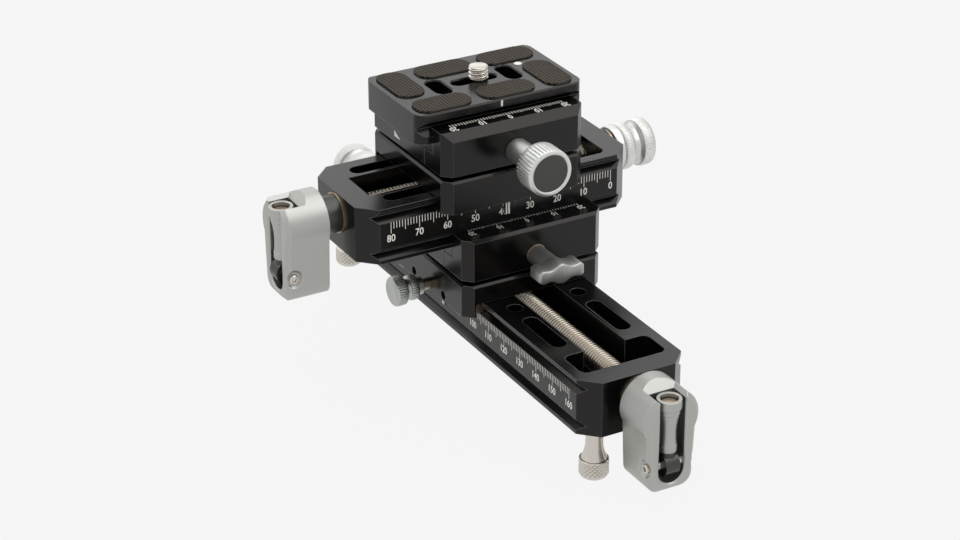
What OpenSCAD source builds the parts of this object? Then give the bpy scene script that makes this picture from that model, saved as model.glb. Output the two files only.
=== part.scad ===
// Two-axis macro focusing rail, millimetres.
// The lower rail runs along Y and stands on four feet.
// Its carriage carries a clamp that grips the upper rail, which runs along X.
// The upper carriage carries a second clamp with a quick-release plate.
// Origin: the middle of the lower rail's underside, on the tripod socket's axis.

/* [Rails] */
// Solid edge of both rails outside their side slots
rail_side = 4.4; // [4.2:0.1:5.2]
// Height of both rails
rail_h = 18.8; // [18:0.2:20]
// Length of the lower rail
lower_len = 178; // [170:1:200]
// Length of the upper rail
upper_len = 98; // [92:1:120]
// Flat edge above and below each side groove
rail_lip = 1.3; // [1:0.1:1.6]
// Height of each side groove at its mouth
groove_h = 3.6; // [3:0.1:4]
// Depth of each side groove
groove_deep = 2.4; // [1.8:0.1:2.6]
// Corner cut at the rail ends, seen from above
end_cut = 5.8; // [3:0.1:6]
// Half width of the open channel
channel_half = 7.5; // [7:0.1:8]
// Depth of the open channel
channel_deep = 13; // [12:0.1:13.4]
// Thickness of the end walls
end_wall = 8; // [7:0.1:9]
// Length of the wide pocket beside an end wall
pocket_len = 12.3; // [10:0.1:14]
// Half width of the wide pocket
pocket_half = 15.2; // [14:0.1:15.5]
// Corner radius of the wide pocket
pocket_r = 2.6; // [1.5:0.1:3.5]
// Width of the side slots
slot_w = 5.5; // [5:0.1:6]
// Distance of the side slots from the middle
slot_off = 11.6; // [11.2:0.1:12]
// Start of the lower rail's slots from the rail end
slot_from = 26; // [24:0.5:30]
// End of the lower rail's slots from the rail end
slot_to = 48; // [40:0.5:50]
// Round hole beyond each lower slot, from the rail end
hole_at = 55.5; // [54:0.5:60]
// Diameter of the round holes
hole_d = 5.2; // [4.5:0.1:5.5]
// Start of the upper rail's slots from its left end
upper_slot_from = 10.9; // [10:0.1:14]
// End of the upper rail's slots from its left end
upper_slot_to = 35; // [30:0.5:40]

/* [Lead screws] */
// Outside diameter of the lead screws
screw_d = 8; // [7:0.1:9]
// Diameter of the screw ends in their bearings
journal_d = 6; // [5:0.1:6.5]
// Screw axis below the rail top
screw_drop = 7; // [6.6:0.1:7.2]
// Outside diameter of the bearing bushes in the end walls
bush_d = 10; // [9:0.1:10.5]
// Diameter of the bush flange at the knob end
bush_flange_d = 14; // [12:0.1:15]
// Thickness of the bush flange at the knob end
knob_flange_t = 1; // [0.8:0.1:1.2]
// Diameter of the brass thrust rings
ring_d = 13.2; // [12.6:0.1:14]
// Thickness of the brass thrust ring at the crank end
ring_t = 0.6; // [0.4:0.1:1]
// Thickness of the brass thrust ring at the knob end
knob_ring_t = 0.9; // [0.7:0.05:1]
// Diameter of the dark collar behind a crank
collar_d = 12.4; // [11:0.1:13]
// Gap between the lower rail end and its crank
lower_stand = 4.5; // [4:0.1:6]
// Gap between the upper rail end and its crank
upper_stand = 6.8; // [5:0.1:7.5]
// Gap between either rail end and its knurled knob
knob_stand = 2; // [2:0.1:3]

/* [End knobs] */
// Diameter over the knurled bands
knob_d = 16; // [14:0.1:17]
// Diameter of the plain hub beside the rail
knob_hub_d = 15.2; // [13:0.1:16]
// Diameter of the waist between the bands
knob_waist_d = 12.6; // [11:0.1:14]
// Length of the plain hub
knob_hub_len = 2.9; // [2:0.1:3.5]
// Length of the inner knurled band
knob_band_a = 3.6; // [3:0.1:5]
// Length of the waist
knob_waist_len = 3.4; // [2:0.1:4]
// Length of the outer knurled band
knob_band_b = 4.8; // [3:0.1:5.4]
// Rounding of the outer end
knob_round = 1.2; // [0.5:0.1:1.5]

/* [Folding cranks] */
// Radius of the crank barrel
barrel_r = 9.7; // [9.4:0.1:10.4]
// Depth of the crank along the screw
crank_deep = 14.8; // [14.4:0.1:16]
// Half width of the arm at the screw axis
arm_half = 8.8; // [8.6:0.1:9.2]
// Half width of the arm near its end
arm_end_half = 7.9; // [7.6:0.1:8.4]
// Length of the arm below the screw axis
arm_len = 24; // [23.5:0.1:24.5]
// Corner radius at the arm's end
arm_round = 4; // [3:0.1:4.5]
// Edge bevel of the arm and barrel
crank_bevel = 1.3; // [0.8:0.1:1.6]
// Width of the slot that holds the folded handle
handle_slot_w = 8.9; // [8.7:0.1:9.2]
// Depth of that slot
handle_slot_deep = 7.2; // [7:0.1:7.6]
// Lower end of that slot below the screw axis
handle_slot_end = 21.5; // [21:0.1:22]
// Depth of the bevel where the slot leaves the barrel's top
slot_bevel = 3; // [2:0.1:3.4]
// Bevel round the slot's outer edge
handle_lip = 0.5; // [0.3:0.1:0.8]
// Handle pivot below the screw axis
pivot_drop = 15.7; // [15:0.1:16]
// Handle axis behind the crank's outer face
handle_in = 2.6; // [2.4:0.1:3]
// Diameter of the pivot pin
pivot_d = 3; // [2.5:0.1:3.2]
// Diameter of the pivot pin's heads
pivot_head_d = 4.6; // [4:0.1:5]
// Thickness of the pivot pin's heads
pivot_head_t = 1; // [0.8:0.1:1.4]
// Diameter of the cone around each pivot head
pivot_cone_d = 6.4; // [5.6:0.1:7]
// Width of the knuckle
knuckle_w = 4.9; // [4.6:0.1:6]
// Diameter of the knuckle eye
knuckle_d = 7.2; // [6.4:0.1:7.4]
// Grip start above the pivot
grip_from = 4.6; // [4.4:0.1:5.4]
// Length of the grip
grip_len = 17.8; // [17:0.1:19]
// Diameter of the grip's head
grip_d = 7.9; // [7.4:0.1:8.1]
// Diameter of the grip's waist
grip_waist_d = 4.9; // [4.6:0.1:6]
// Diameter of the hollow in the grip's head
grip_hollow_d = 5.8; // [5:0.1:6]
// Depth of the hollow in the grip's head
grip_hollow_deep = 3; // [2.4:0.1:3.6]
// Diameter of the grip's axle
axle_d = 2.6; // [2:0.1:3]
// Diameter of the axle's screw head
axle_head_d = 4.8; // [4:0.1:5.2]

/* [Carriages] */
// Width of the carriage beyond each side of the rail
carriage_wall = 6.6; // [6.2:0.1:7.4]
// Corner cut of carriages and clamps
carriage_cut = 3; // [2:0.1:4]
// Carriage top above the rail top
carriage_rise = 6.9; // [6.5:0.1:8]
// Depth of the skirts below the rail top
skirt = 4.2; // [4:0.1:4.8]
// Bright bevel on the carriage's upper edges
edge_bevel = 0.7; // [0.4:0.1:1]
// Clearance between carriage and rail
slide_gap = 0.3; // [0.2:0.05:0.4]
// Thickness of the gib strip
gib_t = 2.6; // [2.2:0.1:3]
// Distance of the gib strip's ends from the carriage's ends
gib_in = 2.3; // [1:0.1:5]
// Diameter of the two gib screws
gib_screw_d = 3; // [2.5:0.1:3]
// Distance of each gib screw from the middle
gib_screw_off = 10; // [8:0.5:14]
// Height of the side screws below the rail top
side_screw_drop = 2; // [1.8:0.05:2.1]
// Length of the lead nut
nut_len = 24; // [18:0.5:26]
// Width of the lead nut
nut_w = 14; // [13:0.1:14.4]
// Width of the hanging index tab
tab_w = 1.6; // [1:0.1:2]
// Thickness of the hanging index tab
tab_t = 0.9; // [0.6:0.1:1.2]
// Length of the tab below the skirt
tab_drop = 6.9; // [5:0.1:8]

/* [Lock screws] */
// Diameter of the lock screw's brass stud
lock_d = 4; // [3.6:0.1:4]
// Diameter of the lock knob's inner band
lock_band_a_d = 8.4; // [7.6:0.1:9]
// Diameter of the lock knob's outer band
lock_band_b_d = 10; // [9:0.1:11]
// Diameter of the waist between the bands
lock_waist_d = 6.8; // [6:0.1:7.4]
// Diameter of the lock knob's hub
lock_hub_d = 6; // [5:0.1:6.6]
// Bare stud between the carriage and the hub, backed out
lock_bare = 2.9; // [1.8:0.1:3.4]
// Length of the hub
lock_hub_len = 2.2; // [1.5:0.1:3]
// Length of the inner band
lock_band_a = 2.8; // [2:0.1:3.5]
// Length of the outer band
lock_band_b = 3.8; // [2.6:0.1:4.4]
// Length of the waist between the bands
lock_waist = 1.7; // [1:0.1:2.5]
// Travel of the lock pad
lock_travel = 1.2; // [0.6:0.1:1.4]

/* [Clamps] */
// Recessed plinth between a carriage and its clamp
plinth_h = 1.7; // [1.4:0.1:2]
// Inset of the plinth from the clamp's edges
plinth_inset = 3.2; // [2:0.1:4]
// Thickness of the clamp block under its seat
block_h = 9.35; // [9:0.05:10]
// Distance of the lower clamp's seat axis behind the carriage middle
lower_seat_off = 2.2; // [1.6:0.1:2.6]
// Distance of the top clamp's seat axis behind the carriage middle
top_seat_off = 0.8; // [0.4:0.1:1.2]
// Height of the lower jaw's ledge above the tip of its ridge
lower_ledge_up = 1.65; // [1.2:0.05:1.7]
// Bevel between the lower jaw's ledge and front face
lower_face_bevel = 0.9; // [0.5:0.1:1.4]
// Height of the top jaw's ledge above the tip of its ridge
top_ledge_up = 0.2; // [0.1:0.05:1]
// Bevel between the top jaw's ledge and front face
top_face_bevel = 2.6; // [2:0.1:3]
// Length of the jaw's tongue under the block
tongue = 5.6; // [4:0.1:6]
// Height of the tongue's top above the carriage
tongue_h = 7.4; // [7:0.1:7.8]
// Gap between a jaw and the part it clamps
jaw_gap = 0.3; // [0.2:0.05:0.4]
// How far a ridge keeps clear inside its groove
ridge_gap = 0.35; // [0.3:0.05:0.5]
// Clamp screw axis above the jaw's lower edge
stud_rise = 4.8; // [4.6:0.1:5]
// Diameter of the clamp screws
stud_d = 5; // [4.5:0.1:5]
// Length of a clamp screw inside the block
stud_in = 18; // [14:0.5:20]
// Diameter of the guide pins
guide_d = 4; // [3.5:0.1:4.4]
// Distance of each guide pin from the middle
guide_off = 16; // [15:0.5:18]
// Length of the guide pins inside the block
guide_in = 13; // [10:0.5:14]
// Width of the groove along each clamp seat
seat_groove_w = 4.6; // [4:0.1:6]
// Depth of that groove
seat_groove_deep = 1.5; // [1:0.1:1.6]
// Diameter of the mounting screws
mount_d = 3; // [2.5:0.1:3]
// Diameter of the mounting screws' heads
mount_head_d = 5.5; // [5:0.1:5.6]
// Height of the mounting screws' heads
mount_head_t = 2.6; // [2:0.1:3]
// Mounting screws' distance from the middle along X and Y
mount_off = 8.4; // [8.2:0.1:8.6]

/* [Clamp knobs] */
// Diameter of the brass washer behind the wing knob
wing_washer_d = 6.8; // [6.4:0.1:8]
// Thickness of the brass washer
wing_washer_t = 0.5; // [0.4:0.1:0.8]
// Diameter of the wing knob's shank
wing_shank_d = 6.4; // [6:0.1:7]
// Length of the wing knob's shank
wing_shank_len = 9.4; // [8:0.1:11]
// Depth of the wing head
wing_deep = 6.9; // [6:0.1:7.4]
// Half width of the wing head
wing_half = 8; // [7.4:0.1:9]
// Height of the wing head at its ends
wing_end_h = 4.6; // [4.2:0.1:5.4]
// Diameter of the wing head's middle
wing_mid_d = 6.8; // [6.6:0.1:7.6]
// Height of the necks beside the wing head's middle
wing_neck_h = 3.8; // [3.4:0.1:4]
// Diameter of the round knob's neck
neck_d = 8; // [7.4:0.1:9]
// Length of the round knob's neck
neck_len = 12.7; // [11:0.1:14]
// Diameter of the round knob's head
head_d = 15.4; // [14.4:0.1:17]
// Length of the round knob's head
head_len = 8.5; // [7:0.1:9.5]
// Bevel of the round knob's rims
head_bevel = 0.8; // [0.5:0.1:1.2]
// Diameter of the dark disc in the knob's face
disc_d = 12.1; // [11:0.1:12.6]
// Depth of the recess that holds the disc
disc_deep = 1; // [0.8:0.1:1.4]
// Thickness of the disc
disc_t = 0.75; // [0.5:0.05:0.9]

/* [Quick-release plate] */
// Length of the plate
plate_len = 59.4; // [58:0.2:62]
// Width of the plate
plate_w = 36.8; // [36:0.1:38]
// Thickness of the plate
plate_h = 9.8; // [9:0.1:10]
// Flat edge below the plate's side groove
plate_lip = 2.4; // [1.8:0.1:2.6]
// Height of the plate's side groove at its mouth
plate_groove_h = 4.7; // [4:0.1:5]
// Corner radius of the plate
plate_r = 3.6; // [2.5:0.1:5]
// Bevel round the tops of the plate's slots
slot_lead = 0.4; // [0.2:0.1:0.6]
// Bevel of the plate's upper edges
plate_bevel = 0.5; // [0.3:0.1:0.8]
// Plate middle behind or ahead of the clamp's middle along X
plate_shift = -0.65; // [-1.2:0.05:0]
// Height of the pads above the plate
pad_up = 0.5; // [0.3:0.1:0.8]
// Depth of the pad pockets
pad_deep = 1; // [0.8:0.1:1.4]
// Plate beyond the pads at both ends
pad_edge = 2; // [1.6:0.1:2.4]
// Plate beyond the pads at both sides
pad_side_edge = 1.3; // [1:0.1:1.5]
// Plate left between neighbouring pads
pad_gap = 3.6; // [3.2:0.1:4]
// Width of the end pads
end_pad_w = 9.8; // [9:0.1:10]
// Width of the side pads
side_pad_w = 10; // [9.6:0.1:10.2]
// Corner radius of all pads
pad_r = 4.3; // [3:0.1:4.5]
// Width of the camera screw's slot
cam_slot_w = 4.8; // [4.8:0.1:5.2]
// Length of the camera screw's slot
cam_slot_len = 16; // [15:0.1:16.4]
// Width of the two cross slots
cross_w = 5.6; // [5:0.1:5.6]
// Length of the two cross slots
cross_len = 12; // [10:0.1:12.4]
// Distance of the cross slots from the middle
cross_off = 12.7; // [12.4:0.1:13]
// Width of the recess under the camera screw's slot
cam_recess_w = 11; // [10.8:0.1:11.4]
// Depth of that recess
cam_recess_deep = 5.2; // [5:0.1:5.6]
// Diameter of the camera screw
cam_d = 6.35; // [6.35:0.01:6.35]
// Height of the camera screw above the plate
cam_up = 4.5; // [3.6:0.1:5]
// Diameter of the camera screw's neck
cam_neck_d = 4.4; // [4:0.1:4.5]
// Diameter of the camera screw's head
cam_head_d = 10.4; // [9.6:0.1:10.4]
// Thickness of the camera screw's head
cam_head_t = 3; // [2.6:0.1:3.2]
// Thickness of the retaining washer
cam_washer_t = 0.8; // [0.6:0.1:1]
// Width of the driver slot in the camera screw
cam_drive_w = 1; // [0.8:0.1:1.2]

/* [Feet and sockets] */
// Distance of the feet from the middle along X
foot_x = 12.5; // [12:0.1:13]
// Distance of the feet from the lower rail's ends
foot_in = 5; // [4.8:0.1:5.2]
// Height of the feet
foot_h = 16; // [15:0.1:18]
// Diameter of the foot's knurled base
foot_d = 9.4; // [9:0.1:10]
// Diameter of the foot's neck
foot_neck_d = 5.5; // [5:0.1:6]
// Diameter of the foot just above its base
foot_flare_d = 8.2; // [7.4:0.1:8.6]
// Length of the foot's knurled base
foot_base_h = 6.6; // [5:0.1:7]
// Rounding under the foot
foot_round = 1.6; // [1:0.1:2]
// Diameter of the foot's stem
foot_stem_d = 4; // [3.5:0.1:4]
// Length of the foot's stem
foot_stem_len = 6; // [5:0.5:8]
// Diameter of the tripod socket
socket_d = 6.35; // [6.35:0.01:6.35]
// Diameter of the large tripod socket
socket_big_d = 9.525; // [9.525:0.005:9.525]
// Distance of the large socket from the middle
socket_big_off = 22; // [20:0.5:30]

/* [Pose] */
// Lower carriage along its rail, from the rail's middle
lower_at = -1; // [-20:0.5:30]
// Upper rail along X, from the lower clamp's middle
upper_rail_at = -7.7; // [-12:0.1:4]
// Upper carriage along its rail, from the rail's middle
upper_at = 1.7; // [-8:0.1:8]
// Camera screw along its slot, from the plate's middle
screw_at = 1.65; // [-5:0.05:5]

/* [Hidden] */
// Overrun of every cut
over = 1;
// Radial clearance of a running fit
fit = 0.05;
// Smallest gap between a turning face and a still one
face_gap = 0.1;
// Segments of round shapes
$fn = 96;
blend_fn = 32;
rail_half = slot_off + slot_w / 2 + rail_side;
rail_w = 2 * rail_half;
half = rail_half + carriage_wall;
carriage_w = 2 * half;
gib_len = carriage_w - 2 * gib_in;
screw_z = rail_h - screw_drop;
carriage_z = rail_h + carriage_rise;
seat_z = plinth_h + block_h;
upper_z = carriage_z + seat_z;
upper_y = lower_at + lower_seat_off;
top_x = upper_rail_at + upper_at;
top_z = upper_z + carriage_z;
plate_z = top_z + seat_z;
ridge_deep = groove_deep - ridge_gap;
stack = ring_t + face_gap;
lock_reach = rail_half + lock_travel + 2 * fit;
grip_share = [
    0, 0.02, 0.12, 0.14, 0.16, 0.28, 0.38, 0.5, 0.6,
    0.69, 0.71, 0.73, 0.8, 0.815, 0.83, 0.85, 0.98, 1
];
grip_fill_share = [
    0.17, 0.25, 0.25, 0.12, 0.12, 0.02, 0, 0.08, 0.25,
    0.47, 0.42, 0.63, 0.63, 0.5, 0.95, 1, 1, 0.93
];
end_pad_x = plate_len / 2 - pad_edge - end_pad_w / 2;
side_pad_y = plate_w / 2 - pad_side_edge - side_pad_w / 2;
side_pad_from = pad_edge - plate_len / 2;
side_pad_to = end_pad_x - end_pad_w / 2 - pad_gap;
side_pad_len = (side_pad_to - side_pad_from - pad_gap) / 2;
end_pad_from = side_pad_w / 2 - side_pad_y + pad_gap;
end_pad_to = side_pad_y + side_pad_w / 2;

black = [0.10, 0.10, 0.11];
grey = [0.16, 0.16, 0.17];
silver = [0.74, 0.76, 0.74];
steel = [0.72, 0.70, 0.66];
brass = [0.72, 0.58, 0.36];
gunmetal = [0.42, 0.45, 0.44];
rubber = [0.38, 0.36, 0.33];
white = [0.90, 0.89, 0.85];

// ---- shared helpers

// Rectangle in plan, centred, with its four corners cut at 45 degrees.
module cut_square(x, y, c) {
    polygon([
        [c - x, -y], [x - c, -y], [x, c - y], [x, y - c],
        [x - c, y], [c - x, y], [-x, y - c], [-x, c - y]
    ]);
}

// Round-ended slot in plan, lying along X.
module slot_plan(length, width) {
    translate([(width - length) / 2, 0]) circle(d = width);
    translate([(length - width) / 2, 0]) circle(d = width);
    square([length - width, width], center = true);
}

// Rectangle in plan with true round corners.
module round_plan(x, y, r) {
    square([2 * x, 2 * (y - r)], center = true);
    square([2 * (x - r), 2 * y], center = true);
    for (sx = [-1, 1])
        for (sy = [-1, 1])
            translate([sx * (x - r), sy * (y - r)]) circle(r);
}

// Cylinder along Y between two stations.
module along_y(r, y0, y1) {
    translate([0, y0, 0]) rotate([-90, 0, 0]) cylinder(r = r, h = y1 - y0);
}

// Cylinder along X between two stations.
module along_x(r, x0, x1) {
    translate([x0, 0, 0]) rotate([0, 90, 0]) cylinder(r = r, h = x1 - x0);
}

// Turned shape along +Y from a list of [radius, station].
module turned_y(points) {
    rotate([-90, 0, 0]) rotate_extrude() polygon(points);
}

// The upper rail's own frame.
module upper_frame() {
    translate([upper_rail_at, upper_y, upper_z]) rotate([0, 0, -90]) children();
}

// Lower and top clamp frames, standing on their carriages.
module lower_clamp_frame() {
    translate([0, lower_at, carriage_z]) children();
}

module top_clamp_frame() {
    translate([top_x, upper_y, top_z]) children();
}

// ---- rails

module rail_section() {
    g = groove_h / 2;
    polygon([
        [-rail_half, 0], [rail_half, 0], [rail_half, rail_lip],
        [rail_half - groove_deep, rail_lip + g],
        [rail_half, rail_lip + groove_h],
        [rail_half, rail_h - rail_lip - groove_h],
        [rail_half - groove_deep, rail_h - rail_lip - g],
        [rail_half, rail_h - rail_lip], [rail_half, rail_h],
        [-rail_half, rail_h], [-rail_half, rail_h - rail_lip],
        [groove_deep - rail_half, rail_h - rail_lip - g],
        [-rail_half, rail_h - rail_lip - groove_h],
        [-rail_half, rail_lip + groove_h],
        [groove_deep - rail_half, rail_lip + g], [-rail_half, rail_lip]
    ]);
}

// Rail body with its channel and the bearing bores in both end walls.
module rail_body(length) {
    e = length / 2;
    difference() {
        intersection() {
            rotate([90, 0, 0]) linear_extrude(length, center = true) rail_section();
            linear_extrude(rail_h) cut_square(rail_half, e, end_cut);
        }
        translate([-channel_half, end_wall - e, rail_h - channel_deep])
            cube([2 * channel_half, length - 2 * end_wall, channel_deep + over]);
        translate([0, 0, screw_z]) along_y(bush_d / 2, -e - over, e + over);
    }
}

// Wide pocket beside the end wall on the given side.
module pocket(length, side) {
    y = length / 2 - end_wall - pocket_len / 2;
    translate([0, side * y, rail_h - channel_deep])
        linear_extrude(channel_deep + over) round_plan(pocket_half, pocket_len / 2, pocket_r);
}

// Pair of slots between two distances from the rail end on the given side.
module slot_pair(length, side, from, to) {
    y = length / 2 - (from + to) / 2;
    for (sx = [-1, 1])
        translate([sx * slot_off, side * y, -over]) rotate([0, 0, 90])
            linear_extrude(rail_h + 2 * over) slot_plan(to - from, slot_w);
}

module lower_rail() {
    color(grey) difference() {
        rail_body(lower_len);
        for (side = [-1, 1]) {
            pocket(lower_len, side);
            slot_pair(lower_len, side, slot_from, slot_to);
            for (sx = [-1, 1]) {
                translate([sx * slot_off, side * (lower_len / 2 - hole_at), -over])
                    cylinder(d = hole_d, h = rail_h + 2 * over);
                translate([sx * foot_x, side * (lower_len / 2 - foot_in), -over])
                    cylinder(d = foot_stem_d, h = foot_stem_len + over);
            }
        }
        translate([0, 0, -over]) cylinder(d = socket_d, h = rail_h);
        translate([0, socket_big_off, -over]) cylinder(d = socket_big_d, h = rail_h);
    }
}

module upper_rail() {
    color(grey) upper_frame() difference() {
        rail_body(upper_len);
        pocket(upper_len, 1);
        slot_pair(upper_len, -1, upper_slot_from, upper_slot_to);
    }
}

// ---- bearings at both rail ends

// The crank is on -Y and the knob on +Y in a rail's own frame.

// Bush whose flange has the given thickness; none at the crank end.
module bush(t) {
    difference() {
        union() {
            along_y(bush_d / 2, -end_wall, 0);
            if (t > 0) along_y(bush_flange_d / 2, 0, t);
        }
        along_y(journal_d / 2 + fit, -end_wall - over, t + over);
    }
}

module bushes(length) {
    e = length / 2;
    translate([0, e, screw_z]) bush(knob_flange_t);
    translate([0, -e, screw_z]) rotate([0, 0, 180]) bush(0);
}

module thrust_ring(t) {
    difference() {
        along_y(ring_d / 2, 0, t);
        along_y(journal_d / 2 + fit, -over, t + over);
    }
}

module thrust_rings(length) {
    e = length / 2;
    translate([0, e + knob_flange_t, screw_z]) thrust_ring(knob_ring_t);
    translate([0, -e - ring_t, screw_z]) thrust_ring(ring_t);
}

module lower_bushes() {
    color(black) bushes(lower_len);
}

module upper_bushes() {
    color(black) upper_frame() bushes(upper_len);
}

module lower_thrust_rings() {
    color(brass) thrust_rings(lower_len);
}

module upper_thrust_rings() {
    color(brass) upper_frame() thrust_rings(upper_len);
}

// ---- lead screws, collars and end knobs

// The plain ends reach halfway into the crank and the end knob.
module lead_screw(length, stand) {
    e = length / 2;
    t = e - end_wall - face_gap;
    reach = knob_hub_len + knob_band_a;
    translate([0, 0, screw_z]) {
        along_y(screw_d / 2, -t, t);
        along_y(journal_d / 2, -e - stand - reach, e + knob_stand + reach);
    }
}

module screw_collar(length, stand) {
    e = length / 2;
    translate([0, 0, screw_z]) difference() {
        along_y(collar_d / 2, -e - stand, -e - stack);
        along_y(journal_d / 2, -e - stand - over, over - e);
    }
}

module end_knob(length) {
    a = length / 2 + knob_stand;
    b = a + knob_hub_len;
    c = b + knob_band_a;
    d = c + knob_waist_len;
    f = d + knob_band_b;
    r = knob_d / 2;
    w = knob_waist_d / 2;
    s = (r - w) / 2;
    translate([0, 0, screw_z]) difference() {
        turned_y([
            [0, a], [knob_hub_d / 2 - knob_round, a], [knob_hub_d / 2, a + knob_round],
            [knob_hub_d / 2, b], [r, b], [r, c], [w + s, c], [w, c + s], [w, d - s],
            [w + s, d], [r, d], [r, f - knob_round], [r - knob_round / 3, f - knob_round / 3],
            [r - knob_round, f], [0, f]
        ]);
        along_y(journal_d / 2, a - over, c);
    }
}

module lower_lead_screw() {
    color(steel) lead_screw(lower_len, lower_stand);
}

module upper_lead_screw() {
    color(steel) upper_frame() lead_screw(upper_len, upper_stand);
}

module lower_screw_collar() {
    color(black) screw_collar(lower_len, lower_stand);
}

module upper_screw_collar() {
    color(black) upper_frame() screw_collar(upper_len, upper_stand);
}

module lower_end_knob() {
    color(silver) end_knob(lower_len);
}

module upper_end_knob() {
    color(silver) upper_frame() end_knob(upper_len);
}

// ---- folding cranks
// The crank frame lies on the screw axis at the crank's back face and looks
// along -Y, away from the rail.

module crank_frame(length, stand) {
    translate([0, -length / 2 - stand, screw_z]) children();
}

// Arm outline in plan, X across and Y up, drawn in by an inset.
module arm_plan(inset) {
    r = arm_round - inset / 2;
    x = arm_end_half - inset;
    low = inset - arm_len;
    polygon([
        [inset - arm_half, 0], [-x, low + r], [r - x, low],
        [x - r, low], [x, low + r], [arm_half - inset, 0]
    ]);
    for (sx = [-1, 1])
        translate([sx * (x - r), low + r]) circle(r, $fn = blend_fn);
}

module arm_slab(y, depth, inset) {
    translate([0, y, 0]) rotate([90, 0, 0]) linear_extrude(depth) arm_plan(inset);
}

module crank_housing() {
    slot_y = handle_slot_deep - crank_deep;
    sr = handle_slot_w / 2;
    core = knob_hub_len + knob_band_a;
    difference() {
        union() {
            hull() {
                arm_slab(0, crank_deep - crank_bevel, 0);
                arm_slab(0, crank_deep, crank_bevel);
            }
            rotate([180, 0, 0]) turned_y([
                [0, 0], [barrel_r, 0], [barrel_r, crank_deep - crank_bevel],
                [barrel_r - crank_bevel, crank_deep], [0, crank_deep]
            ]);
        }
        translate([-sr, -crank_deep - over, sr - handle_slot_end])
            cube([handle_slot_w, handle_slot_deep + over, handle_slot_end - sr + barrel_r + over]);
        translate([0, 0, sr - handle_slot_end]) along_y(sr, -crank_deep - over, slot_y);
        hull() {
            translate([-sr, -crank_deep - over, barrel_r - slot_bevel])
                cube([2 * sr, handle_slot_deep + over, slot_bevel]);
            translate([-sr - slot_bevel, -crank_deep - over, barrel_r])
                cube([2 * (sr + slot_bevel), handle_slot_deep + over + slot_bevel, over]);
        }
        translate([0, 0, sr - handle_slot_end]) slot_lip(sr);
        along_y(journal_d / 2, -core, over);
        translate([0, handle_in - crank_deep, -pivot_drop]) {
            along_x(pivot_d / 2, -barrel_r, barrel_r);
            for (sx = [0, 180]) rotate([0, sx, 0]) pivot_recess();
        }
    }
}

// Bevel round the outer edge of the handle's slot.
module slot_lip(r) {
    y = handle_lip - crank_deep;
    w = r + handle_lip + over;
    linear_extrude(handle_slot_end + barrel_r) polygon([
        [-r, y], [r, y], [w, -crank_deep - over], [-w, -crank_deep - over]
    ]);
    translate([0, y, 0]) rotate([90, 0, 0]) cylinder(r1 = r, r2 = w, h = handle_lip + over);
}

// Seat of one pivot head with the cone around it, opening along +X.
module pivot_recess() {
    w = pivot_wall();
    rotate([0, 90, 0]) translate([0, 0, w - pivot_head_t]) {
        cylinder(d = pivot_head_d, h = arm_half);
        cylinder(d1 = pivot_head_d, d2 = pivot_cone_d + arm_half, h = pivot_head_t + arm_half / 2);
    }
}

// Half width of the arm at the pivot's height.
function pivot_wall() = arm_half - (arm_half - arm_end_half) * pivot_drop / (arm_len - arm_round);

module crank_pivot() {
    w = pivot_wall();
    translate([0, handle_in - crank_deep, -pivot_drop]) {
        along_x(pivot_d / 2, -w, w);
        for (sx = [0, 180]) rotate([0, sx, 0])
            along_x(pivot_head_d / 2, w - pivot_head_t, w - pivot_head_t / 3);
    }
}

// Eye round the pivot with a neck up to the grip.
module crank_knuckle() {
    top = grip_from - face_gap;
    translate([0, handle_in - crank_deep, -pivot_drop]) difference() {
        union() {
            along_x(knuckle_d / 2, -knuckle_w / 2, knuckle_w / 2);
            intersection() {
                cylinder(d = knuckle_w, h = top);
                translate([-knuckle_w, -knuckle_d / 2, 0]) cube([2 * knuckle_w, knuckle_d, top]);
            }
        }
        along_x(pivot_d / 2 + fit, -knuckle_w, knuckle_w);
        translate([0, 0, pivot_d]) cylinder(d = axle_d, h = grip_from);
    }
}

// Fixed in the knuckle; its head lies in the grip's hollow end.
module crank_axle() {
    head = grip_len - grip_hollow_deep;
    translate([0, handle_in - crank_deep, grip_from - pivot_drop]) {
        translate([0, 0, pivot_d - grip_from])
            cylinder(d = axle_d, h = grip_from - pivot_d + head + face_gap);
        translate([0, 0, head + face_gap]) cylinder(d = axle_head_d, h = grip_hollow_deep / 2);
    }
}

module crank_grip() {
    w = grip_waist_d / 2;
    s = grip_d / 2 - w;
    side = [for (i = [0:len(grip_share) - 1])
        [w + s * grip_fill_share[i], grip_len * grip_share[i]]];
    translate([0, handle_in - crank_deep, grip_from - pivot_drop]) difference() {
        rotate_extrude() polygon(concat([[0, 0]], side, [[0, grip_len]]));
        translate([0, 0, -over]) cylinder(d = axle_d + 2 * fit, h = grip_len);
        translate([0, 0, grip_len - grip_hollow_deep])
            cylinder(d = grip_hollow_d, h = grip_hollow_deep + over);
    }
}

module lower_crank_housing() {
    color(silver) crank_frame(lower_len, lower_stand) crank_housing();
}

module lower_crank_pivot() {
    color(steel) crank_frame(lower_len, lower_stand) crank_pivot();
}

module lower_crank_knuckle() {
    color(black) crank_frame(lower_len, lower_stand) crank_knuckle();
}

module lower_crank_axle() {
    color(brass) crank_frame(lower_len, lower_stand) crank_axle();
}

module lower_crank_grip() {
    color(silver) crank_frame(lower_len, lower_stand) crank_grip();
}

module upper_crank_housing() {
    color(silver) upper_frame() crank_frame(upper_len, upper_stand) crank_housing();
}

module upper_crank_pivot() {
    color(steel) upper_frame() crank_frame(upper_len, upper_stand) crank_pivot();
}

module upper_crank_knuckle() {
    color(black) upper_frame() crank_frame(upper_len, upper_stand) crank_knuckle();
}

module upper_crank_axle() {
    color(brass) upper_frame() crank_frame(upper_len, upper_stand) crank_axle();
}

module upper_crank_grip() {
    color(silver) upper_frame() crank_frame(upper_len, upper_stand) crank_grip();
}

// ---- feet

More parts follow.
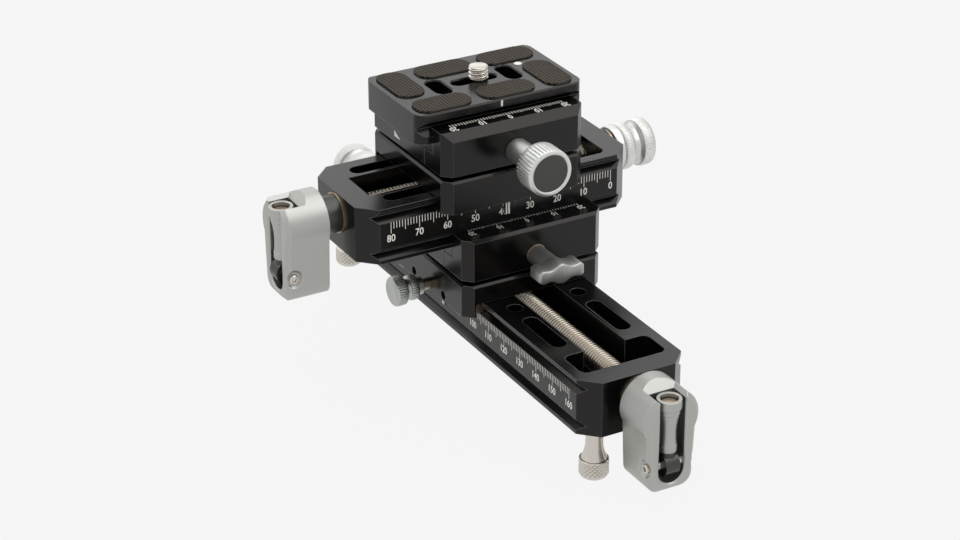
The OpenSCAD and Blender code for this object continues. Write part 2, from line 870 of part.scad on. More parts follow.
module feet() {
    n = foot_neck_d / 2;
    r = foot_d / 2;
    base = foot_base_h - foot_h;
    color(steel)
        for (sx = [-1, 1])
            for (sy = [-1, 1])
                translate([sx * foot_x, sy * (lower_len / 2 - foot_in), 0]) rotate_extrude()
                    polygon([
                        [0, -foot_h], [r - foot_round, -foot_h], [r, foot_round - foot_h],
                        [r, base], [foot_flare_d / 2, base],
                        [foot_flare_d / 2 - (r - n) / 3, base * 0.7], [n, base / 4], [n, 0],
                        [foot_stem_d / 2, 0],
                        [foot_stem_d / 2, foot_stem_len], [0, foot_stem_len]
                    ]);
}

// ---- carriages, in the frame of their rail

// Space the rail, the gib and the sliding gaps take under the carriage.
module carriage_cut_section() {
    low = rail_h - skirt;
    left = -rail_half - slide_gap - gib_t;
    tip = rail_half - ridge_deep;
    g = groove_h / 2;
    foot = rail_half + ridge_gap - groove_deep * (rail_lip + groove_h - skirt) / g;
    polygon([
        [left, low - over], [left, rail_h + slide_gap], [rail_half + slide_gap, rail_h + slide_gap],
        [rail_half + slide_gap, rail_h - rail_lip], [rail_half + ridge_gap, rail_h - rail_lip],
        [tip, rail_h - rail_lip - g], [foot, low], [foot, low - over]
    ]);
}

module bevelled_section() {
    low = rail_h - skirt;
    polygon([
        [-half, low], [half, low], [half, carriage_z - edge_bevel],
        [half - edge_bevel, carriage_z], [edge_bevel - half, carriage_z],
        [-half, carriage_z - edge_bevel]
    ]);
}

module carriage(at) {
    side_z = rail_h - side_screw_drop;
    translate([0, at, 0]) difference() {
        intersection() {
            linear_extrude(carriage_z) cut_square(half, half, carriage_cut);
            rotate([90, 0, 0]) linear_extrude(carriage_w, center = true) bevelled_section();
            rotate([90, 0, 90]) linear_extrude(carriage_w, center = true) bevelled_section();
        }
        rotate([90, 0, 0]) linear_extrude(carriage_w + over, center = true)
            carriage_cut_section();
        for (sy = [-1, 1])
            translate([0, sy * gib_screw_off, side_z])
                along_x(gib_screw_d / 2, -half - over, -rail_half);
        translate([0, 0, side_z]) along_x(lock_d / 2 + fit, -half - over, -rail_half);
        mount_holes(carriage_z - carriage_rise + slide_gap, mount_d / 2, carriage_rise);
    }
}

// Four plain bores on the mounting screws' axes.
module mount_holes(z, r, h) {
    for (sx = [-1, 1])
        for (sy = [-1, 1])
            translate([sx * mount_off, sy * mount_off, z]) cylinder(r = r, h = h + over);
}

// The nut hangs from the carriage into the rail's channel, round the screw.
module lead_nut(at) {
    top = rail_h + slide_gap;
    low = rail_h - channel_deep + slide_gap;
    translate([0, at, 0]) difference() {
        translate([-nut_w / 2, -nut_len / 2, low]) cube([nut_w, nut_len, top - low]);
        translate([0, 0, screw_z]) along_y(screw_d / 2 + fit, -nut_len, nut_len);
    }
}

// Strip with a ridge that runs in the rail's groove on the adjusting side.
module gib(at) {
    low = rail_h - skirt;
    top = rail_h;
    g = groove_h / 2;
    foot = ridge_gap - groove_deep * (rail_lip + groove_h - skirt) / g;
    side_z = rail_h - side_screw_drop;
    translate([0, at, 0]) difference() {
        rotate([90, 0, 0]) linear_extrude(gib_len, center = true) polygon([
            [-rail_half - slide_gap - gib_t, low], [-rail_half - foot, low],
            [ridge_deep - rail_half, top - rail_lip - g],
            [-rail_half - ridge_gap, top - rail_lip], [-rail_half - slide_gap, top - rail_lip],
            [-rail_half - slide_gap, top], [-rail_half - slide_gap - gib_t, top]
        ]);
        translate([0, 0, side_z])
            along_x(lock_d / 2 + fit, -half, groove_deep - rail_half);
    }
}

module gib_screws(at) {
    out = half - gib_screw_d / 4;
    inner = rail_half + slide_gap + gib_t;
    for (sy = [-1, 1])
        translate([0, at + sy * gib_screw_off, rail_h - side_screw_drop]) difference() {
            along_x(gib_screw_d / 2, -out, -inner);
            translate([-out, 0, 0]) rotate([0, 90, 0])
                cylinder(d = gib_screw_d / 2, h = gib_screw_d, center = true, $fn = 6);
        }
}

// Bent tab under the skirt whose light edge reads the rail's scale.
module index_tab(at, side) {
    x = rail_half + ridge_gap;
    low = rail_h - skirt;
    for (bar = [[x, tab_t, tab_drop], [x, gib_t + 2 * tab_w, tab_t]])
        translate([side * (bar[0] + bar[1] / 2), at, low - bar[2] / 2])
            cube([bar[1], tab_w, bar[2]], center = true);
}

// ---- lock screws
// Stations along X, counted outwards from the rail side.

function lock_tip() = rail_half + slide_gap + gib_t;
function lock_out() = half + lock_bare;

module lock_pad(at) {
    translate([0, at, rail_h - side_screw_drop]) along_x(lock_d / 2, -lock_tip(), -lock_reach);
}

module lock_stud(at) {
    a = lock_tip();
    b = lock_out() + lock_hub_len;
    translate([0, at, rail_h - side_screw_drop]) along_x(lock_d / 2, -b, -a);
}

module lock_knob(at) {
    a = lock_out();
    b = a + lock_hub_len;
    c = b + lock_band_a;
    d = c + lock_waist;
    f = d + lock_band_b;
    p = lock_band_a_d / 2;
    q = lock_band_b_d / 2;
    w = lock_waist_d / 2;
    v = (q - w) / 4;
    translate([0, at, rail_h - side_screw_drop]) rotate([0, 0, 90]) difference() {
        turned_y([
            [0, a], [lock_hub_d / 2, a], [lock_hub_d / 2, b], [p - v, b], [p, b + v],
            [p, c - v], [p - v, c], [w, c + v], [w, d - v], [q - v, d], [q, d + v],
            [q, f - 2 * v], [q - v, f - v / 2], [q - 2 * v, f], [0, f]
        ]);
        along_y(lock_d / 2, a - over, b);
    }
}

module lower_carriage() {
    color(black) carriage(lower_at);
}

module lower_lead_nut() {
    color(brass) lead_nut(lower_at);
}

module lower_gib() {
    color(brass) gib(lower_at);
}

module lower_gib_screws() {
    color(steel) gib_screws(lower_at);
}

module lower_index_tab() {
    color(white) index_tab(lower_at, -1);
}

module lower_lock_pad() {
    color(white) lock_pad(lower_at);
}

module lower_lock_stud() {
    color(brass) lock_stud(lower_at);
}

module lower_lock_knob() {
    color(gunmetal) lock_knob(lower_at);
}

module upper_carriage() {
    color(black) upper_frame() carriage(upper_at);
}

module upper_lead_nut() {
    color(brass) upper_frame() lead_nut(upper_at);
}

module upper_gib() {
    color(brass) upper_frame() gib(upper_at);
}

module upper_gib_screws() {
    color(steel) upper_frame() gib_screws(upper_at);
}

module upper_index_tab() {
    color(white) upper_frame() index_tab(upper_at, 1);
}

module upper_lock_pad() {
    color(white) upper_frame() lock_pad(upper_at);
}

module upper_lock_stud() {
    color(brass) upper_frame() lock_stud(upper_at);
}

module upper_lock_knob() {
    color(gunmetal) upper_frame() lock_knob(upper_at);
}

// ---- clamps
// The clamp frame stands on the carriage top, centred on it; the jaw is on -Y.
// seat: [width, axis behind the middle, lip, groove height].

lower_seat = [rail_w, lower_seat_off, rail_lip, groove_h];
top_seat = [plate_w, top_seat_off, plate_lip, plate_groove_h];

// Front face of the block, where the jaw closes up.
function block_front(seat) = seat[1] - seat[0] / 2 + jaw_gap;

module clamp_base(seat) {
    front = block_front(seat);
    back = seat[1] + seat[0] / 2;
    lip = seat[2];
    gh = seat[3];
    stud_z = plinth_h + stud_rise;
    inset = half - plinth_inset;
    difference() {
        union() {
            linear_extrude(tongue_h) intersection() {
                cut_square(inset, inset, carriage_cut);
                translate([-half, front + tongue + jaw_gap]) square([carriage_w, carriage_w]);
            }
            intersection() {
                linear_extrude(2 * seat_z) intersection() {
                    cut_square(half, half, carriage_cut);
                    translate([-half, front]) square([carriage_w, carriage_w]);
                }
                rotate([90, 0, 90]) linear_extrude(carriage_w, center = true) polygon([
                    [front + tongue, plinth_h], [half, plinth_h],
                    [half, seat_z + lip + gh - edge_bevel],
                    [half - edge_bevel, seat_z + lip + gh],
                    [back + ridge_gap, seat_z + lip + gh],
                    [back - ridge_deep, seat_z + lip + gh / 2],
                    [back + ridge_gap, seat_z + lip], [back + jaw_gap, seat_z + lip],
                    [back + jaw_gap, seat_z], [front, seat_z],
                    [front, tongue_h + jaw_gap], [front + tongue, tongue_h + jaw_gap]
                ]);
            }
        }
        translate([-half - over, seat[1] - seat_groove_w / 2, seat_z - seat_groove_deep])
            cube([carriage_w + 2 * over, seat_groove_w, seat_groove_deep + over]);
        translate([0, 0, stud_z]) along_y(stud_d / 2 + fit, front - over, front + stud_in + over);
        for (sx = [-1, 1])
            translate([sx * guide_off, 0, stud_z])
                along_y(guide_d / 2 + fit, front - over, front + guide_in + over);
        mount_holes(-over, mount_d / 2, seat_z);
        mount_holes(seat_z - mount_head_t - face_gap, mount_head_d / 2, mount_head_t);
    }
}

module clamp_screws() {
    z = seat_z - mount_head_t - face_gap;
    inner = carriage_rise - slide_gap;
    for (sx = [-1, 1])
        for (sy = [-1, 1])
            translate([sx * mount_off, sy * mount_off, 0]) difference() {
                union() {
                    translate([0, 0, -inner]) cylinder(d = mount_d, h = inner + z);
                    translate([0, 0, z]) cylinder(d = mount_head_d, h = mount_head_t);
                }
                translate([0, 0, z + mount_head_t / 3])
                    cylinder(d = mount_head_d / 2, h = mount_head_t, $fn = 6);
            }
}

// The ledge behind the front face carries a scale in the photographed object.
module clamp_jaw(seat, up, bevel) {
    side = seat[1] - seat[0] / 2;
    z0 = seat_z + seat[2];
    g = seat[3] / 2;
    ledge = z0 + g + up;
    lip_y = side + ridge_deep - (ridge_deep + ridge_gap) * up / g;
    stud_z = plinth_h + stud_rise;
    difference() {
        intersection() {
            linear_extrude(2 * seat_z) intersection() {
                cut_square(half, half, carriage_cut);
                translate([-half, -half]) square([carriage_w, half]);
            }
            rotate([90, 0, 90]) linear_extrude(carriage_w, center = true) polygon([
                [-half, plinth_h], [side + tongue, plinth_h], [side + tongue, tongue_h],
                [side, tongue_h], [side, z0], [side - ridge_gap, z0],
                [side + ridge_deep, z0 + g], [lip_y, ledge],
                [bevel - half, ledge], [-half, ledge - bevel]
            ]);
        }
        translate([0, 0, stud_z]) along_y(stud_d / 2 + fit, -half - over, half);
        for (sx = [-1, 1])
            translate([sx * guide_off, 0, stud_z])
                along_y(guide_d / 2, jaw_gap * 2 - half + over, half);
    }
}

module guide_pins(seat) {
    for (sx = [-1, 1])
        translate([sx * guide_off, 0, plinth_h + stud_rise])
            along_y(guide_d / 2, jaw_gap * 2 - half + over, block_front(seat) + guide_in);
}

// The screw's outer end is fixed in its knob, which starts at the jaw's face.
module clamp_stud(seat, reach) {
    translate([0, 0, plinth_h + stud_rise])
        along_y(stud_d / 2, -half - reach, block_front(seat) + stud_in);
}

module lower_clamp_base() {
    color(black) lower_clamp_frame() clamp_base(lower_seat);
}

module lower_clamp_screws() {
    color(steel) lower_clamp_frame() clamp_screws();
}

module lower_clamp_jaw() {
    color(black) lower_clamp_frame() clamp_jaw(lower_seat, lower_ledge_up, lower_face_bevel);
}

module lower_guide_pins() {
    color(steel) lower_clamp_frame() guide_pins(lower_seat);
}

module lower_clamp_stud() {
    color(steel) lower_clamp_frame() clamp_stud(lower_seat, wing_shank_len);
}

module lower_clamp_washer() {
    y = -half - face_gap;
    color(brass) lower_clamp_frame() translate([0, 0, plinth_h + stud_rise]) difference() {
        along_y(wing_washer_d / 2, y - wing_washer_t, y);
        along_y(stud_d / 2, y - wing_washer_t - over, y + over);
    }
}

// T-shaped knob: round shank and a waisted wing head.
module wing_knob() {
    y = -half - face_gap - wing_washer_t;
    back = y - wing_shank_len;
    e = wing_end_h / 2;
    color(silver) lower_clamp_frame() translate([0, 0, plinth_h + stud_rise]) difference() {
        union() {
            along_y(wing_shank_d / 2, back, y);
            along_y(wing_mid_d / 2, back - wing_deep, back);
            for (sx = [-1, 1])
                translate([sx * (wing_half - e), 0, 0]) along_y(e, back - wing_deep, back);
            translate([e - wing_half, back - wing_deep, -wing_neck_h / 2])
                cube([2 * (wing_half - e), wing_deep, wing_neck_h]);
        }
        along_y(stud_d / 2, -half - wing_shank_len, y + over);
    }
}

module top_clamp_base() {
    color(black) top_clamp_frame() clamp_base(top_seat);
}

module top_clamp_screws() {
    color(steel) top_clamp_frame() clamp_screws();
}

module top_clamp_jaw() {
    color(black) top_clamp_frame() clamp_jaw(top_seat, top_ledge_up, top_face_bevel);
}

module top_guide_pins() {
    color(steel) top_clamp_frame() guide_pins(top_seat);
}

module top_clamp_stud() {
    color(steel) top_clamp_frame() clamp_stud(top_seat, neck_len);
}

// Round knob with a smooth neck, a fluted head and a recessed face.
module round_knob() {
    a = half + face_gap;
    b = a + neck_len;
    c = b + head_len;
    r = head_d / 2;
    color(silver) top_clamp_frame() translate([0, 0, plinth_h + stud_rise])
        rotate([180, 0, 0]) difference() {
            turned_y([
                [0, a], [neck_d / 2, a], [neck_d / 2, b - head_bevel],
                [neck_d / 2 + head_bevel, b], [r - head_bevel, b], [r, b + head_bevel],
                [r, c - head_bevel], [r - head_bevel, c], [0, c]
            ]);
            along_y(stud_d / 2, a - over, half + neck_len);
            along_y(disc_d / 2, c - disc_deep, c + over);
        }
}

module round_knob_disc() {
    c = half + face_gap + neck_len + head_len - disc_deep;
    color(gunmetal) top_clamp_frame() translate([0, 0, plinth_h + stud_rise])
        along_y(disc_d / 2, -c - disc_t, -c);
}

// ---- quick-release plate

module plate_frame() {
    translate([top_x + plate_shift, upper_y + top_seat_off, plate_z]) children();
}

// Six pads laid round the middle like a pinwheel.
module pad_plans() {
    for (s = [-1, 1]) {
        translate([s * end_pad_x, -s * (end_pad_from + end_pad_to) / 2])
            round_plan(end_pad_w / 2, (end_pad_to - end_pad_from) / 2, pad_r);
        for (x = [side_pad_from + side_pad_len / 2, side_pad_to - side_pad_len / 2])
            translate([-s * x, s * side_pad_y])
                round_plan(side_pad_len / 2, side_pad_w / 2, pad_r);
    }
}

// Bevel round the top of a round-ended slot that lies along X.
module slot_rim(length, width) {
    r = width / 2;
    w = r + slot_lead + over;
    for (s = [-1, 1])
        translate([s * (length - width) / 2, 0, plate_h - slot_lead])
            cylinder(r1 = r, r2 = w, h = slot_lead + over);
    rotate([90, 0, 90]) linear_extrude(length - width, center = true) polygon([
        [-r, plate_h - slot_lead], [r, plate_h - slot_lead],
        [w, plate_h + over], [-w, plate_h + over]
    ]);
}

module quick_release_plate() {
    w = plate_w / 2;
    g = plate_groove_h / 2;
    color(grey) plate_frame() difference() {
        intersection() {
            linear_extrude(plate_h) round_plan(plate_len / 2, w, plate_r);
            rotate([90, 0, 90]) linear_extrude(plate_len, center = true) polygon([
                [-w, 0], [w, 0], [w, plate_lip], [w - groove_deep, plate_lip + g],
                [w, plate_lip + plate_groove_h], [w, plate_h - plate_bevel],
                [w - plate_bevel, plate_h], [plate_bevel - w, plate_h],
                [-w, plate_h - plate_bevel], [-w, plate_lip + plate_groove_h],
                [groove_deep - w, plate_lip + g], [-w, plate_lip]
            ]);
        }
        translate([0, 0, plate_h - pad_deep]) linear_extrude(pad_deep + over) pad_plans();
        translate([0, 0, -over]) linear_extrude(plate_h + 2 * over)
            slot_plan(cam_slot_len, cam_slot_w);
        slot_rim(cam_slot_len, cam_slot_w);
        translate([0, 0, -over]) linear_extrude(cam_recess_deep + over)
            slot_plan(cam_slot_len + cam_recess_w - cam_slot_w, cam_recess_w);
        for (sx = [-1, 1])
            translate([sx * cross_off, 0, 0]) rotate([0, 0, 90]) {
                translate([0, 0, -over])
                    linear_extrude(plate_h + 2 * over) slot_plan(cross_len, cross_w);
                slot_rim(cross_len, cross_w);
            }
    }
}

module plate_pads() {
    color(rubber) plate_frame() translate([0, 0, plate_h - pad_deep])
        linear_extrude(pad_deep + pad_up) pad_plans();
}

// Washer that keeps the camera screw in its slot and slides with it.
module camera_screw_washer() {
    z = cam_recess_deep - face_gap - cam_washer_t;
    color(black) plate_frame() translate([screw_at, 0, z]) difference() {
        cylinder(d = cam_head_d, h = cam_washer_t);
        translate([0, 0, -over]) cylinder(d = cam_neck_d + 2 * fit, h = cam_washer_t + 2 * over);
    }
}

// Slotted camera screw; its head hides in the recess under the plate.
module camera_screw() {
    z = cam_recess_deep - 2 * face_gap - cam_washer_t - cam_head_t;
    top = plate_h + cam_up;
    b = cam_d / 8;
    n = cam_neck_d / 2;
    color(steel) plate_frame() translate([screw_at, 0, 0]) difference() {
        rotate_extrude() polygon([
            [0, z], [cam_head_d / 2, z], [cam_head_d / 2, z + cam_head_t], [n, z + cam_head_t],
            [n, plate_h + pad_up], [cam_d / 2, plate_h + pad_up], [cam_d / 2, top - b],
            [cam_d / 2 - b, top], [0, top]
        ]);
        translate([0, 0, z]) cube([cam_head_d + over, cam_drive_w, 2 * cam_drive_w], center = true);
        translate([0, 0, top]) cube([cam_d + over, cam_drive_w, cam_drive_w], center = true);
    }
}

lower_rail();
lower_bushes();
lower_thrust_rings();
feet();
lower_lead_screw();
lower_screw_collar();
lower_end_knob();
lower_crank_housing();
lower_crank_pivot();
lower_crank_knuckle();
lower_crank_axle();
lower_crank_grip();
lower_carriage();
lower_lead_nut();
lower_gib();
lower_gib_screws();
lower_index_tab();
lower_lock_pad();
lower_lock_stud();
lower_lock_knob();
lower_clamp_base();
lower_clamp_screws();
lower_clamp_jaw();
lower_guide_pins();
lower_clamp_stud();
lower_clamp_washer();
wing_knob();
upper_rail();
upper_bushes();
upper_thrust_rings();
upper_lead_screw();
upper_screw_collar();
upper_end_knob();
upper_crank_housing();
upper_crank_pivot();
upper_crank_knuckle();
upper_crank_axle();
upper_crank_grip();
upper_carriage();
upper_lead_nut();
upper_gib();
upper_gib_screws();
upper_index_tab();
upper_lock_pad();
upper_lock_stud();
upper_lock_knob();
top_clamp_base();
top_clamp_screws();
top_clamp_jaw();
top_guide_pins();
top_clamp_stud();
round_knob();
round_knob_disc();
quick_release_plate();
plate_pads();
camera_screw_washer();
camera_screw();
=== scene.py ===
# %% [markdown]
# # A two-axis macro focusing rail
# Two black anodised rails are stacked at right angles. Each carries a sliding
# carriage on a lead screw. The lower carriage's clamp holds the upper rail, and
# the upper carriage's clamp holds a plate with a camera screw.
# This lesson dresses the finished solids: it keeps most of them, gives each a
# procedural finish, and remodels the few whose surface is cut too finely for a
# solid, such as threads, knurls and engraved scales.

import math

import bmesh
import bpy
from mathutils import Matrix, Vector


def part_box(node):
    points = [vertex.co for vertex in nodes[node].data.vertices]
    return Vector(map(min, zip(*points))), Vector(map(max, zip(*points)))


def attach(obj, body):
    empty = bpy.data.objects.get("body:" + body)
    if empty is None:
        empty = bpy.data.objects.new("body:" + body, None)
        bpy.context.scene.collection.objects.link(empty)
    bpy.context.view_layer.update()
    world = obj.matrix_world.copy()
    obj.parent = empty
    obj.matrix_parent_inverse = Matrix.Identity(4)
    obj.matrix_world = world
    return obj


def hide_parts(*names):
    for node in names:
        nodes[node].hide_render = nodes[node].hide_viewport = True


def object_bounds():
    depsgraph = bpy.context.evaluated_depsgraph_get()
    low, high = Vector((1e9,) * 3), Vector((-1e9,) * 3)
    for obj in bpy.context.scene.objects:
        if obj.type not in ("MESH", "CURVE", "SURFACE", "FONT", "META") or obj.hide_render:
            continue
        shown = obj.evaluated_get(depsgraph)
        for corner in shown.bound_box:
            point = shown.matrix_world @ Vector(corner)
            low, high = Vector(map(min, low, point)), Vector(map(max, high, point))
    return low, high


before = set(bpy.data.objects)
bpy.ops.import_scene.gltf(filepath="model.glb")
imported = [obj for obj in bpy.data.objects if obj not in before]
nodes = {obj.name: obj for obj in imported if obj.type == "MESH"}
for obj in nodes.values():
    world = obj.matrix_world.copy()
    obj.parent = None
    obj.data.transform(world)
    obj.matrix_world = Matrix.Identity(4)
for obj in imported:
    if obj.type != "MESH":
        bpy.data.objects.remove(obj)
cad_low, cad_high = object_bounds()
MM = 0.001

# %% [markdown]
# ## Writing shader maths as plain sums
# A finish is a small network of nodes. Placing Math nodes by hand hides what is
# worked out, so a socket is wrapped in a class whose plus, minus, times and
# divided by each add the matching Math node. A Math node would turn a colour
# grey, so colours go through Mix. Every other kind of node comes from one
# method, which takes the node's settings first and then its sockets.

# %% A socket that takes part in sums
class Wire:
    def __init__(self, finish, socket):
        self.finish, self.socket = finish, socket

    def math(self, operation, first, second=0.0):
        return self.finish.node("Math", {"operation": operation}, {0: first, 1: second})

    def __add__(self, other):
        return self.math("ADD", self, other)

    __radd__ = __add__

    def __sub__(self, other):
        return self.math("SUBTRACT", self, other)

    def __rsub__(self, other):
        return self.math("SUBTRACT", other, self)

    def __mul__(self, other):
        return self.math("MULTIPLY", self, other)

    __rmul__ = __mul__

    def __truediv__(self, other):
        return self.math("DIVIDE", self, other)

    def sine(self):
        return self.math("SINE", self)

    def clamp(self):
        return self.finish.node("Clamp", None, {"Value": self})


print("sums that a socket takes part in: + - * / sine clamp")

# %% One finish and its nodes
class Finish:
    def __init__(self, name):
        self.material = bpy.data.materials.new(name)
        self.material.use_nodes = True
        self.tree = self.material.node_tree
        self.tree.nodes.clear()
        self.place = self.node("TexCoord", out="Object")

    def node(self, kind, settings=None, inputs=None, out=0):
        made = self.tree.nodes.new("ShaderNode" + kind)
        for key, value in (settings or {}).items():
            setattr(made, key, value)
        for key, value in (inputs or {}).items():
            if isinstance(value, Wire):
                self.tree.links.new(value.socket, made.inputs[key])
            else:
                made.inputs[key].default_value = value
        return Wire(self, made.outputs[out])

    def noise(self, scale, detail=2.0, stretch=(1, 1, 1)):
        spot = self.node("Mapping", None, {"Vector": self.place, "Scale": stretch})
        sizes = {"Vector": spot, "Scale": scale, "Detail": detail}
        return self.node("TexNoise", None, sizes)

    def mix(self, factor, first, second):
        first, second = (c if isinstance(c, Wire) else (*c, 1) for c in (first, second))
        colours = {0: factor, 6: first, 7: second}
        return self.node("Mix", {"data_type": "RGBA"}, colours, out=2)

    def axis(self, letter):
        return self.node("SeparateXYZ", None, {"Vector": self.place}, out=letter)

    def surface(self, colour, rough, normal, **fixed):
        sockets = {"Base Color": colour, "Roughness": rough, "Normal": normal, **fixed}
        shader = self.node("BsdfPrincipled", None, sockets)
        end = self.tree.nodes.new("ShaderNodeOutputMaterial")
        self.tree.links.new(shader.socket, end.inputs["Surface"])
        return self.material


print("shader helpers ready")

# %% [markdown]
# ## Machined metal
# Anodised or bare, a machined part shows the same three things: a fine grain from
# blasting or turning, a slow drift of tone over centimetres, and edges broken by
# a fraction of a millimetre that catch the light. Noise at two sizes gives the
# first two. The edges could be bevelled in the mesh, but the solids stay as they
# are, so a Bevel node bends the normals near each corner, which costs no
# geometry. How far a bent normal leans from the face's own also tells where a
# corner is. There the rails' black parts and the knobs get a painted highlight:
# their colour turns lighter, standing in for the light that a broken edge catches.

# %% A recipe for machined metal
GLINT_GAIN, GLINT_START = 4.0, 0.12


def machined(
        name, light, dark, metallic, rough, grain, depth, edge=0.22 * MM, glint=None,
        **fixed):
    made = Finish(name)
    drift = made.noise(45, 3)
    fine = made.noise(grain, 2)
    colour = made.mix(drift * 0.55 + fine * 0.45, dark, light)
    rounded = made.node("Bevel", {"samples": 6}, {"Radius": edge})
    # Painted highlight: the colour turns lighter where the bent normal leans from the
    # face's own, standing in for light caught by the edge.
    if glint:
        plain = made.node("NewGeometry", out="Normal")
        pair = {0: rounded, 1: plain}
        alike = made.node("VectorMath", {"operation": "DOT_PRODUCT"}, pair, out="Value")
        corner = ((1.0 - alike) * GLINT_GAIN - GLINT_START).clamp()
        colour = made.mix(corner, colour, glint)
    bump = {"Strength": 0.5, "Distance": depth, "Height": fine, "Normal": rounded}
    normal = made.node("Bump", None, bump)
    rough = rough + (drift - 0.5) * 0.10 + (fine - 0.5) * 0.12
    return made.surface(colour, rough, normal, Metallic=metallic, **fixed)


print("glint starts where 1 - cosine passes", GLINT_START / GLINT_GAIN)

# %% [markdown]
# ### The metals by name
# Each metal gets a light and a dark tone, then how metallic and how rough it is,
# then the grain's scale and depth, and last the width of its broken edge. Black
# anodising is a dyed, glassy skin, so it isn't metallic in the shader's sense:
# nearly black below, with a slightly warm mirror on top.

# %% Mix the metals
# Each glint colour below is a painted highlight along the edges.
warm = {"IOR": 1.38, "Specular Tint": (1.0, 0.955, 0.93, 1), "glint": (0.20, 0.19, 0.18)}
finishes = {
    "black_anodised": machined(
        "black_anodised", (0.0028, 0.0026, 0.0027), (0.0010, 0.0009, 0.0009), 0.0,
        0.21, 5200, 0.006 * MM, 0.30 * MM, **warm),
    "grey_anodised": machined(
        "grey_anodised", (0.0034, 0.0031, 0.0033), (0.0014, 0.0013, 0.0013), 0.0,
        0.22, 5200, 0.006 * MM, 0.34 * MM, **warm),
    "silver_aluminium": machined(
        "silver_aluminium", (0.44, 0.445, 0.42), (0.36, 0.365, 0.345), 1.0,
        0.42, 4200, 0.010 * MM, 0.30 * MM, glint=(0.78, 0.78, 0.75)),
    "turned_aluminium": machined(
        "turned_aluminium", (0.68, 0.69, 0.665), (0.56, 0.57, 0.545), 1.0,
        0.38, 4200, 0.010 * MM, 0.20 * MM, glint=(0.86, 0.86, 0.84)),
    "screw_steel": machined(
        "screw_steel", (0.54, 0.49, 0.42), (0.38, 0.34, 0.29), 1.0,
        0.26, 3000, 0.006 * MM, 0.08 * MM),
    "bright_steel": machined(
        "bright_steel", (0.66, 0.62, 0.56), (0.50, 0.47, 0.42), 1.0,
        0.24, 3000, 0.006 * MM, 0.12 * MM),
    "brass": machined(
        "brass", (0.56, 0.46, 0.34), (0.36, 0.28, 0.19), 1.0,
        0.28, 3000, 0.006 * MM, 0.12 * MM),
    "gunmetal": machined(
        "gunmetal", (0.46, 0.475, 0.45), (0.36, 0.375, 0.352), 1.0,
        0.38, 4200, 0.012 * MM, glint=(0.66, 0.67, 0.64)),
    "dark_steel": machined(
        "dark_steel", (0.090, 0.092, 0.086), (0.050, 0.052, 0.048), 1.0,
        0.36, 3600, 0.008 * MM, 0.12 * MM),
}
print("machined finishes:", ", ".join(finishes))

# %% [markdown]
# ## Moulded plastic and paint
# The bearing bushes and the lock pads are moulded, and the marks are filled with
# thick white paint. Both have soft edges and a fine uneven surface, so the recipe
# for machined metal serves them too, with nothing metallic and no glint.

# %% Mix the plastic and the paint
finishes["black_polymer"] = machined(
    "black_polymer", (0.012, 0.0115, 0.011), (0.006, 0.006, 0.0055), 0.0,
    0.48, 2600, 0.02 * MM)
finishes["white_mark"] = machined(
    "white_mark", (0.74, 0.725, 0.67), (0.60, 0.585, 0.53), 0.0,
    0.50, 3200, 0.02 * MM, 0.05 * MM)
print("finishes so far:", len(finishes))

# %% [markdown]
# ## The plate's pads
# The pads are a hard brown-grey rubber with rows of small dents. Hundreds of
# dents could be cut into each pad, at a great cost in faces. Two squared sine
# waves, one along and one across, multiply to the same grid. It paints shade into
# each dent, darkening the rubber there, and tilts the light there through a bump.

# %% Mix the rubber
DENT_PITCH = 1.16 * MM


def dented_rubber():
    made = Finish("pad_rubber")
    turn = math.pi / DENT_PITCH
    one, two = (made.axis("X") * turn).sine(), (made.axis("Y") * turn).sine()
    dents = (one * one * two * two * 2.8 - 0.35).clamp()
    wear = made.noise(260, 3)
    # The second colour is painted shade: near black in each dent, where the hollow would be
    # in shadow.
    brown, dent_shade = (0.058, 0.048, 0.037), (0.001, 0.001, 0.001)
    colour = made.mix(dents * 0.9 + wear * 0.1, brown, dent_shade)
    sizes = {"Strength": 0.8, "Distance": 0.15 * MM, "Height": 1.0 - dents}
    normal = made.node("Bump", None, sizes)
    dull = {"Specular IOR Level": 0.12}
    return made.surface(colour, wear * 0.2 + 0.6, normal, **dull)


finishes["pad_rubber"] = dented_rubber()
print("finishes in all:", len(finishes))

# %% [markdown]
# ## Dressing the solids
# Each solid arrives with the name of its finish in its material slot. Its
# triangles are loose, and loose triangles shade flat. The solid's own mesh stays
# as it is, so a Weld modifier joins them instead. An Edge Split then keeps the
# machined corners crisp while bores and barrels shade round.

# %% Give every solid its finish
def shade_round(solid):
    normals = solid.data.attributes.get("custom_normal")
    if normals:
        solid.data.attributes.remove(normals)
    solid.data.polygons.foreach_set("use_smooth", [True] * len(solid.data.polygons))
    weld = solid.modifiers.new("join", "WELD")
    weld.merge_threshold = 0.002 * MM
    split = solid.modifiers.new("corners", "EDGE_SPLIT")
    split.split_angle = math.radians(28)


finish_of = {}
for name, solid in nodes.items():
    finish_of[name] = solid.material_slots[0].material.name.split(".")[0]
for name, solid in nodes.items():
    solid.material_slots[0].material = finishes[finish_of[name]]
    shade_round(solid)
nodes["round_knob_disc"].material_slots[0].material = finishes["dark_steel"]
print("finish of each solid:", sorted(set(finish_of.values())))

# %% [markdown]
# ## The index tabs
# A small bracket on each carriage drops a bar over the rail's scale. The bar is
# black with two thin white lines, and the arm that holds it is black. The lines
# are about half a millimetre wide, too narrow to be worth a piece each, so they
# are painted. Steps across the bar make a mask, and one more leaves the arm out.

# %% Paint the index tabs
ARM_HEIGHT = 0.9
LINE_EDGES = (0.1, 0.6, 1.0)


def step(distance):
    return (distance * 40).clamp()


